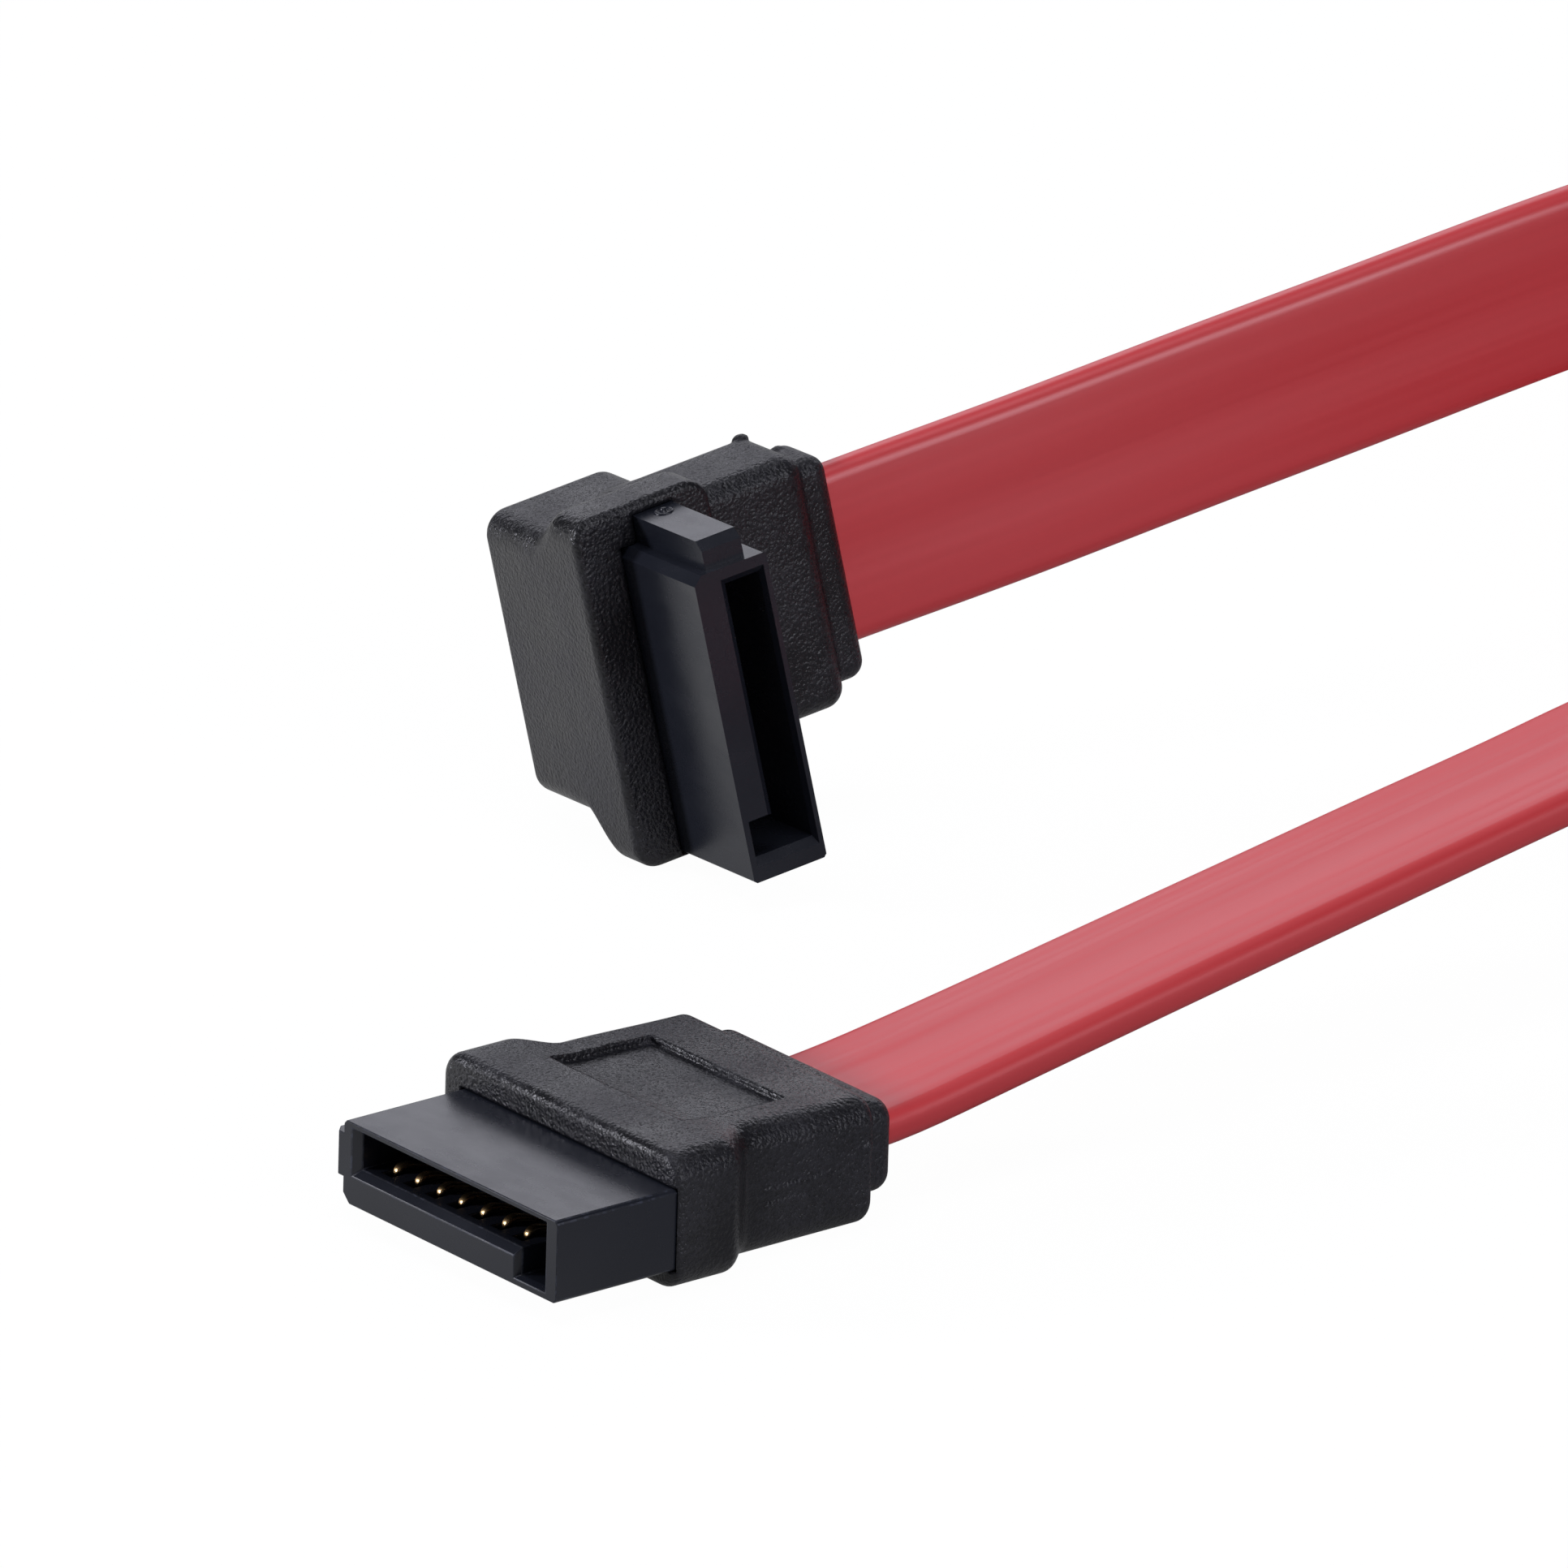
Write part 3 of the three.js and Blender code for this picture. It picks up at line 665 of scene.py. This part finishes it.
def body_room(p):
    """Where the plug body's tail and its key rib sit in the grip."""
    gap = MOUTH_GAP
    tail = round_box(p, (-HALF_WIDTH - gap, -HALF_HEIGHT - gap, -BODY_TAIL - ROOM_BACK),
                     (HALF_WIDTH + gap, HALF_HEIGHT + gap, FAR), ROOM_CORNER)
    rib = round_box(p, (-HALF_WIDTH - RIB_RISE - gap, -RIB_WIDTH / 2 - gap,
                        -RIB_ROOT - ROOM_BACK),
                    (-HALF_WIDTH + 1, RIB_WIDTH / 2 + gap, FAR), ROOM_CORNER)
    return np.minimum(tail, rib)


def straight_grip_form(rounding, ribbon):
    """Flange, S-shaped waist and block in line with the ribbon, with a recess in the top."""
    under, over, back_over, taper = -2.45, 2.85, 2.7, 0.15
    back, collar_back = -10.2, -11.5
    recess_depth, ridge_half = 0.3, 0.05
    wide, thick = ribbon
    ribbon_x, ribbon_y = 0.45, 0.35

    def distance(p):
        z = p[..., 2]
        left, right = waisted(z, (-7.4, 6.4), (1.1, 1.1), -2.6, 1.7)
        top = (back_over + (over - back_over) * ramp_up(z, -4.0, -2.4)
               - taper * ramp_up(-z, 4.0, -back))
        form = pillow(p, (left, under, back), (right, top, 0), rounding * 1.25, rounding * 0.5)
        collar = pillow(p, (-4.9, under + 0.9, collar_back), (4.85, 2.1, back + 2),
                        rounding, rounding * 0.8)
        form = join(form, collar, COLLAR_BLEND)
        recess = round_box(p, (-4.35, top - recess_depth, -7.4), (3.35, top + 3, -2.6), 0.06)
        form = cut(form, recess, 0.05)
        for line, end in ((0.1, -8.2), (-0.5, -7.0)):       # parting ridges
            ridge = round_box(p, (5.1, line - ridge_half, end),
                              (5.36, line + ridge_half, -5.0), 0.04)
            form = join(form, ridge, 0.12)
        gate = ball(p, (5.2, 0.75, back + 0.4), 0.26, (0.7, 1.1, 0.9))
        form = join(form, gate, 0.15)
        form = cut(form, body_room(p), MOUTH_BLEND)
        entry = round_box(p, (ribbon_x - wide / 2, ribbon_y - thick / 2, collar_back - 2),
                          (ribbon_x + wide / 2, ribbon_y + thick / 2, -7.2), thick * 0.4)
        return cut(form, entry, ENTRY_BLEND)

    return distance, (-7.7, -2.8, -11.9), (6.8, 3.2, 0.4)


def elbow_grip_form(rounding, ribbon):
    """Flange and heel, with the block and collar that lead the ribbon out to one side."""
    thick_side, thin_side, back = -3.5, 2.5, -7.4
    block_end, collar_end, inset = 7.1, 8.4, 0.6
    block = ((-6.9, 0, -5.1), (3.4, block_end, -0.8))
    wide, thick = ribbon
    ribbon_x, ribbon_z = -1.8, -2.9

    def distance(p):
        left, right = waisted(p[..., 2], (-7.8, 6.4), (1.15, 1.5), -1.7, 2)
        form = pillow(p, (left, thick_side, back), (right, thin_side, 0),
                      rounding * 1.15, rounding * 0.35)
        form = join(form, round_box(p, *block, rounding), 0.3)
        collar = round_box(p, (block[0][0] + inset, 4, block[0][2] + inset),
                           (block[1][0] - inset, collar_end, block[1][2] - inset), rounding * 0.85)
        form = join(form, collar, COLLAR_BLEND)
        for place, radius in (((-6.82, 6.5, -4.6), 0.24), ((-6.25, 7.5, -3.7), 0.18)):
            gate = ball(p, place, radius, (0.9, 1.4, 1.1))
            form = join(form, gate, 0.1)
        form = cut(form, body_room(p), MOUTH_BLEND)
        entry = round_box(p, (ribbon_x - wide / 2, 5.1, ribbon_z - thick / 2),
                          (ribbon_x + wide / 2, collar_end + 2, ribbon_z + thick / 2), thick * 0.4)
        return cut(form, entry, ENTRY_BLEND)

    return distance, (-8.2, -3.9, -7.8), (6.8, 8.8, 0.4)


# Plug bodies

GATE_PLACE = (-HALF_WIDTH - RIB_RISE, 0.1, 0.7)     # on the key rib's outer face
GATE_PROFILE = [(0.08, 0.16), (0.11, 0.14), (0.13, 0.01), (0.28, 0.01), (0.32, 0.06),
                (0.38, 0.045), (0.42, -0.05)]       # radius and height in millimetres
GATE_SIDES = 20
MERGE_DISTANCE = 1e-6
FLAT_ANGLE, EDGE_ANGLE = math.radians(1), math.radians(20)      # joined below, bevelled above
EDGE_MARGIN = 1.2                   # a face up to this many bevels wide counts as an edge
TONGUE_LOW, TONGUE_HIGH = (-5.8, -0.9, 0.3), (4.0, -0.5, 5.5)     # room of its top's corners
TONGUE_RISE = 0.36                  # how much higher its top stands than in the CAD


def raise_tongue(points, plug):
    """Moves the top of the tongue in the mouth to its height in the photograph."""
    matrix = plug_matrix(plug)
    back = matrix.inverted()
    for point in points:
        place = back @ point.co
        if all(a < b < c for a, b, c in zip(TONGUE_LOW, place, TONGUE_HIGH)):
            point.co = matrix @ (place + Vector((0, TONGUE_RISE, 0)))


def mark_edges(mesh, width):
    """Marks the narrow faces, which are bevelled edges, in the attribute "edge".

    They alone stay smooth, so that the wide faces are shaded flat.
    """
    layer = mesh.attributes.new("edge", "FLOAT", "FACE")
    for face in mesh.polygons:
        corners = [mesh.vertices[i].co for i in face.vertices]
        longest = max((a - b).length for a, b in zip(corners, corners[1:] + corners[:1]))
        face.use_smooth = face.area < width * longest
        layer.data[face.index].value = float(face.use_smooth)


def add_gate(mesh, matrix):
    """Adds the mark that the mould's gate left: a nub with a low ring around it."""
    work = bmesh.new()
    work.from_mesh(mesh)
    x, y, z = GATE_PLACE
    angles = [2 * math.pi * i / GATE_SIDES for i in range(GATE_SIDES)]
    rings = []
    for radius, height in GATE_PROFILE:
        rings.append([work.verts.new(matrix @ Vector((
            x - height, y + radius * math.cos(angle), z + radius * math.sin(angle))))
            for angle in angles])
    added = [work.faces.new(rings[0]), work.faces.new(rings[-1])]
    for inner, outer in zip(rings, rings[1:]):
        for i in range(GATE_SIDES):
            j = (i + 1) % GATE_SIDES
            added.append(work.faces.new((inner[i], outer[i], outer[j], inner[j])))
    bmesh.ops.recalc_face_normals(work, faces=added)
    for face in added:
        face.smooth = True
    work.to_mesh(mesh)
    work.free()


def body_piece(plug, sizes):
    """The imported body, with its tongue raised, its flat faces joined and its edges bevelled."""
    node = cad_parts[f"{plug}_body"]
    mesh = node.data.copy()
    work = bmesh.new()
    work.from_mesh(mesh)
    work.transform(node.matrix_world)
    bmesh.ops.remove_doubles(work, verts=work.verts, dist=MERGE_DISTANCE)
    raise_tongue(work.verts, plug)
    bmesh.ops.dissolve_limit(work, angle_limit=FLAT_ANGLE, verts=work.verts, edges=work.edges)
    work.to_mesh(mesh)
    work.free()
    piece = link(mesh, f"{plug}_plug_body")
    bevel = piece.modifiers.new("edges", "BEVEL")
    bevel.width = sizes.body_edge
    bevel.segments = 2
    bevel.limit_method = "ANGLE"
    bevel.angle_limit = EDGE_ANGLE
    bevel.use_clamp_overlap = True
    bake_modifiers(piece)
    mark_edges(piece.data, sizes.body_edge * EDGE_MARGIN)
    add_gate(piece.data, plug_matrix(plug))
    return piece


# Contacts

CONTACT_SHIFT = -0.7                # from the plug's middle to the row's, along x
CONTACT_SINK = {"straight": 0, "right_angle": 0.5}      # how much deeper the row is seated
CONTACT_WIDTH, CONTACT_THICKNESS, CONTACT_CORNER = 0.34, 0.22, 0.07
CONTACT_LINE = [                    # z, y along the strip, from its tail to its hook
    (-4.2, -0.8), (-2, -0.8), (0.4, -0.8), (1.2, -0.77), (2.4, -0.42), (3.2, -0.14),
    (3.65, -0.01), (3.95, 0.03), (4.14, -0.03), (4.26, -0.14), (4.32, -0.28),
]


def contact_mesh(matrix):
    """One contact: a rounded strip swept along its side view, with a domed end."""
    step, arc, dome = 0.08, 3, 5    # length of a ring, points in a corner and rings in the dome
    line = spline_through([(0, y, z) for z, y in CONTACT_LINE], step)
    along = unit_rows(np.gradient(line, axis=0))
    wide = np.array((1.0, 0, 0))
    thick = np.cross(along, wide)
    section = np.concatenate(rounded_corners(
        CONTACT_WIDTH / 2, CONTACT_THICKNESS / 2, CONTACT_CORNER, arc))
    taper = np.ones(len(line))
    for i in range(dome):
        taper[-1 - i] = math.sqrt(1 - (1 - (i + 0.4) / dome) ** 2)
    rings = (line[:, None] + wide * section[None, :, :1] * taper[:, None, None]
             + thick[:, None] * section[None, :, 1:] * taper[:, None, None])
    mesh = mesh_from("contact", moved(rings.reshape(-1, 3), matrix), swept_faces(*rings.shape[:2]))
    mesh.shade_smooth()
    return mesh


def row_tree():
    """Geometry nodes that repeat a piece in a straight row and give it a material."""
    tree = bpy.data.node_groups.new("contact_row", "GeometryNodeTree")
    face = tree.interface
    for name, kind in (("Geometry", "Geometry"), ("Count", "Int"), ("Start", "Vector"),
                       ("Offset", "Vector"), ("Material", "Material")):
        face.new_socket(name, in_out="INPUT", socket_type=f"NodeSocket{kind}")
    face.new_socket("Geometry", in_out="OUTPUT", socket_type="NodeSocketGeometry")
    add, wire = tree.nodes.new, tree.links.new
    given, result = add("NodeGroupInput"), add("NodeGroupOutput")
    row = add("GeometryNodeMeshLine")
    copies = add("GeometryNodeInstanceOnPoints")
    real = add("GeometryNodeRealizeInstances")
    paint = add("GeometryNodeSetMaterial")
    wire(given.outputs["Count"], row.inputs["Count"])
    wire(given.outputs["Start"], row.inputs["Start Location"])
    wire(given.outputs["Offset"], row.inputs["Offset"])
    wire(row.outputs["Mesh"], copies.inputs["Points"])
    wire(given.outputs["Geometry"], copies.inputs["Instance"])
    wire(copies.outputs["Instances"], real.inputs["Geometry"])
    wire(real.outputs["Geometry"], paint.inputs["Geometry"])
    wire(given.outputs["Material"], paint.inputs["Material"])
    wire(paint.outputs["Geometry"], result.inputs["Geometry"])
    return tree


def set_inputs(modifier, **values):
    for item in modifier.node_group.interface.items_tree:
        if item.item_type == "SOCKET" and item.in_out == "INPUT" and item.name in values:
            modifier[item.identifier] = values[item.name]


# Tie around the coil

TIE_ANGLE = -25                     # degrees around the coil's centre
TIE_WIDTH, TIE_THICKNESS, TIE_GAP, TIE_EDGE = 3, 0.35, 0.12, 0.12
TIE_CORNER = 0.9                    # radius of its bends
TIE_RADII = (33.35, 37.75)          # inner and outer reach of the turns that it holds
TIE_TOP = 7.7                       # height of their upper edge


def tie_points():
    """Middle line of the band around the turns, in r and z."""
    grow, arc = TIE_GAP + TIE_THICKNESS / 2, 6
    r0, r1 = TIE_RADII[0] - grow, TIE_RADII[1] + grow
    z0, z1 = TIE_THICKNESS / 2, TIE_TOP + grow
    corners = rounded_corners((r1 - r0) / 2, (z1 - z0) / 2, TIE_CORNER, arc)
    return np.concatenate(corners) + ((r0 + r1) / 2, (z0 + z1) / 2)


def tie_mesh():
    """The band, closed on itself, with rounded long edges."""
    points = tie_points()
    ahead = unit_rows(np.roll(points, -1, 0) - np.roll(points, 1, 0))
    outward = np.stack([ahead[:, 1], -ahead[:, 0]], 1)
    half_w, half_t, edge = TIE_WIDTH / 2, TIE_THICKNESS / 2, TIE_EDGE
    section = [(half_w, -half_t + edge), (half_w, half_t - edge), (half_w - edge, half_t),
               (-half_w + edge, half_t), (-half_w, half_t - edge), (-half_w, -half_t + edge),
               (-half_w + edge, -half_t), (half_w - edge, -half_t)]
    angle = math.radians(TIE_ANGLE)
    radial = np.array((math.cos(angle), math.sin(angle), 0))
    aside = np.array((-math.sin(angle), math.cos(angle), 0))
    vertices, faces = [], []
    for (r, z), (out_r, out_z) in zip(points, outward):
        for u, v in section:
            place = radial * (r + out_r * v) + aside * u
            vertices.append((place[0] + COIL_CENTRE[0], place[1] + COIL_CENTRE[1], z + out_z * v))
    size, count = len(section), len(points)
    for ring, i in itertools.product(range(count), range(size)):
        a, b = ring * size + i, ring * size + (i + 1) % size
        c, d = (b + size) % (count * size), (a + size) % (count * size)
        faces.append((a, b, c, d))
    mesh = mesh_from("coil_band", np.array(vertices) * MM, faces)
    work = bmesh.new()
    work.from_mesh(mesh)
    bmesh.ops.recalc_face_normals(work, faces=work.faces)
    work.to_mesh(mesh)
    work.free()
    mesh.shade_smooth()
    return mesh


# Camera and lights

CAMERA_ELEVATION, CAMERA_ROLL, CAMERA_AZIMUTH = (math.radians(a) for a in (20.61, 1.65, 50.39))
CAMERA_AIM = Vector((31.34, 32.17, 0)) * MM
CAMERA_DISTANCE = 1.0
CAMERA_REACH = 10
PHOTO_SIZE = 1932                   # pixels along one side
PIXELS_PER_MM = 32.415
SENSOR = 36                         # millimetres
LIGHT_TINT = (0.97, 0.97, 1.07)
LIGHT_AIM = (0.02, 0.01, 0.005)
LAMPS = (                           # name, place, size and power
    ("top", (-0.1, 0.0, 0.75), (0.4, 0.4), 1.7),
    ("back", (0.5, 0.62, 0.36), (1.1, 0.4), 2.0),
    ("left", (-0.55, 0.42, 0.2), (0.12, 0.12), 2.8),
    ("front", (0.05, -0.75, 0.35), (0.5, 0.4), 2.5),
)
WORLD_LIGHT = 0.05
FLOOR_HALF, FLOOR_DROP, FLOOR_SEEN = 3.0, 2e-5, 0.96        # half its side, depth, share of glow


def add_camera():
    flat = Vector((math.cos(CAMERA_AZIMUTH), math.sin(CAMERA_AZIMUTH), 0))
    away = flat * math.cos(CAMERA_ELEVATION) - Vector((0, 0, math.sin(CAMERA_ELEVATION)))
    right = Vector((math.sin(CAMERA_AZIMUTH), -math.cos(CAMERA_AZIMUTH), 0))
    up = right.cross(away)
    rolled = right * math.cos(CAMERA_ROLL) + up * math.sin(CAMERA_ROLL)
    top = up * math.cos(CAMERA_ROLL) - right * math.sin(CAMERA_ROLL)
    data = bpy.data.cameras.new("camera")
    data.sensor_width = SENSOR
    data.sensor_fit = "HORIZONTAL"
    data.lens = SENSOR * CAMERA_DISTANCE / MM * PIXELS_PER_MM / PHOTO_SIZE
    data.clip_end = CAMERA_REACH
    camera = bpy.data.objects.new("camera", data)
    bpy.context.scene.collection.objects.link(camera)
    place = Matrix((rolled, top, -away)).transposed().to_4x4()
    place.translation = CAMERA_AIM - away * CAMERA_DISTANCE
    camera.matrix_world = place
    bpy.context.scene.camera = camera


def add_lamp(name, place, size, power):
    data = bpy.data.lights.new(name, "AREA")
    data.shape = "RECTANGLE"
    data.size, data.size_y = size
    data.energy = power
    data.color = LIGHT_TINT
    lamp = bpy.data.objects.new(name, data)
    lamp.location = place
    way = Vector(LIGHT_AIM) - Vector(place)
    lamp.rotation_euler = way.to_track_quat("-Z", "Y").to_euler()
    bpy.context.scene.collection.objects.link(lamp)


def add_world(strength):
    """White where it is seen, also through other things, and weak as light."""
    world = bpy.data.worlds.new("studio")
    bpy.context.scene.world = world
    world.use_nodes = True
    tree = world.node_tree
    tree.nodes.clear()
    path = tree.nodes.new("ShaderNodeLightPath")
    seen = tree.nodes.new("ShaderNodeMath")
    seen.operation = "MAXIMUM"
    tree.links.new(path.outputs["Is Camera Ray"], seen.inputs[0])
    tree.links.new(path.outputs["Is Transmission Ray"], seen.inputs[1])
    level = tree.nodes.new("ShaderNodeMapRange")
    level.inputs["To Min"].default_value = strength
    level.inputs["To Max"].default_value = 1
    tree.links.new(seen.outputs[0], level.inputs["Value"])
    light = tree.nodes.new("ShaderNodeBackground")
    light.inputs["Color"].default_value = (1, 1, 1, 1)
    tree.links.new(level.outputs[0], light.inputs["Strength"])
    out = tree.nodes.new("ShaderNodeOutputWorld")
    tree.links.new(light.outputs[0], out.inputs["Surface"])


# Operators


class CABLE_OT_camera(bpy.types.Operator):
    """Places the camera at the photograph's viewing angle"""

    bl_idname = "cable.camera"
    bl_label = "Camera"

    def execute(self, context):
        add_camera()
        return {"FINISHED"}


class CABLE_OT_ribbon(bpy.types.Operator):
    """Models the flat ribbon with its coil, and the tie that holds the coil"""

    bl_idname = "cable.ribbon"
    bl_label = "Ribbon and tie"

    def execute(self, context):
        sizes = context.scene.cable_ribbon
        colours = context.scene.cable_colours
        line = spline_through([*ELBOW_RUN, *coil_points(sizes), *STRAIGHT_RUN], sizes.step / MM)
        mesh, path = ribbon_mesh(line, sizes)
        ribbon = link(mesh, "ribbon")
        finish_piece(ribbon, jacket_finish(colours),
                     ("ribbon_to_right_angle", "ribbon_to_straight", "ribbon_coil"))
        tie = link(tie_mesh(), "coil_band")
        finish_piece(tie, tie_finish(colours), ("coil_tie",))
        return {"FINISHED"}


class CABLE_OT_grips(bpy.types.Operator):
    """Models the two soft grips that are moulded around the plugs"""

    bl_idname = "cable.grips"
    bl_label = "Grips"

    def execute(self, context):
        plug_sizes = context.scene.cable_plug
        ribbon = (context.scene.cable_ribbon.width / MM, context.scene.cable_ribbon.thickness / MM)
        finish = grip_finish(context.scene.cable_colours)
        step = plug_sizes.grip_step / MM * 1
        for plug, form in zip(PLUGS, (straight_grip_form, elbow_grip_form)):
            distance, low, high = form(plug_sizes.grip_round / MM, ribbon)
            grip = formed_piece(f"{plug}_soft_grip", distance, low, high, step, plug_matrix(plug))
            finish_piece(grip, finish, (f"{plug}_grip",))
        return {"FINISHED"}


class CABLE_OT_bodies(bpy.types.Operator):
    """Bevels and finishes the two hard plug bodies"""

    bl_idname = "cable.bodies"
    bl_label = "Plug bodies"

    def execute(self, context):
        finish = body_finish(context.scene.cable_colours)
        for plug in PLUGS:
            piece = body_piece(plug, context.scene.cable_plug)
            finish_piece(piece, finish, (f"{plug}_body",))
        return {"FINISHED"}


class CABLE_OT_contacts(bpy.types.Operator):
    """Models the rows of plated spring contacts"""

    bl_idname = "cable.contacts"
    bl_label = "Contacts"

    def execute(self, context):
        sizes = context.scene.cable_plug
        finish = contact_finish(context.scene.cable_colours)
        tree = row_tree()
        for plug in PLUGS:
            matrix = plug_matrix(plug)
            turn = matrix.to_3x3() * (1 / MM)
            first = CONTACT_SHIFT * MM - (sizes.contact_count - 1) / 2 * sizes.contact_pitch
            piece = link(contact_mesh(matrix), f"{plug}_contacts")
            row = piece.modifiers.new("row", "NODES")
            row.node_group = tree
            set_inputs(row, Count=sizes.contact_count,
                       Start=tuple(turn @ Vector((first, 0, -CONTACT_SINK[plug] * MM))),
                       Offset=tuple(turn @ Vector((sizes.contact_pitch, 0, 0))),
                       Material=finish)
            bake_modifiers(piece)
            nodes = [f"{plug}_contact_{i + 1}" for i in range(sizes.contact_count)]
            finish_piece(piece, finish, nodes)
        return {"FINISHED"}


class CABLE_OT_inner_blocks(bpy.types.Operator):
    """Finishes the pale inner blocks that the grips cover"""

    bl_idname = "cable.inner_blocks"
    bl_label = "Inner blocks"

    def execute(self, context):
        finish = inner_finish()
        for plug in PLUGS:
            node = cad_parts[f"{plug}_inner_block"]
            node.data.materials.clear()
            node.data.materials.append(finish)
        return {"FINISHED"}


class CABLE_OT_stage(bpy.types.Operator):
    """Lays the pale floor and sets the soft studio light"""

    bl_idname = "cable.stage"
    bl_label = "Floor and light"

    def execute(self, context):
        corners = [(x * FLOOR_HALF, y * FLOOR_HALF, -FLOOR_DROP)
                   for x, y in ((-1, -1), (1, -1), (1, 1), (-1, 1))]
        floor = link(mesh_from("floor", corners, [(0, 1, 2, 3)]), "floor")
        floor.data.materials.append(floor_finish(context.scene.cable_colours, FLOOR_SEEN))
        add_world(WORLD_LIGHT)
        for lamp in LAMPS:
            add_lamp(*lamp)
        return {"FINISHED"}


class CABLE_PT_panel(bpy.types.Panel):
    """Lists the cable's pieces, sizes and colours"""

    bl_idname = "CABLE_PT_panel"
    bl_label = "Data Cable"
    bl_space_type = "VIEW_3D"
    bl_region_type = "UI"
    bl_category = "Data Cable"

    def draw(self, context):
        for operator in OPERATORS:
            self.layout.operator(operator.bl_idname)
        for group in SETTINGS:
            values = getattr(context.scene, group)
            for name in values.bl_rna.properties.keys():
                if name not in ("rna_type", "name"):
                    self.layout.prop(values, name)


OPERATORS = (CABLE_OT_camera, CABLE_OT_ribbon, CABLE_OT_grips, CABLE_OT_bodies,
             CABLE_OT_contacts, CABLE_OT_inner_blocks, CABLE_OT_stage)
SETTINGS = {"cable_ribbon": CableRibbonSizes, "cable_plug": CablePlugSizes,
            "cable_colours": CableColours}
CLASSES = (*SETTINGS.values(), *OPERATORS, CABLE_PT_panel)


def register():
    for cls in CLASSES:
        bpy.utils.register_class(cls)
    for name, cls in SETTINGS.items():
        setattr(bpy.types.Scene, name, bpy.props.PointerProperty(type=cls))


def unregister():
    for name in SETTINGS:
        delattr(bpy.types.Scene, name)
    for cls in reversed(CLASSES):
        bpy.utils.unregister_class(cls)


def plain(box):
    return [[float(value) for value in corner] for corner in box]


def main():
    register()
    bpy.context.scene.view_settings.view_transform = "Standard"
    for operator in OPERATORS:
        group, name = operator.bl_idname.split(".")
        getattr(getattr(bpy.ops, group), name)()


if __name__ == "__main__":
    main()
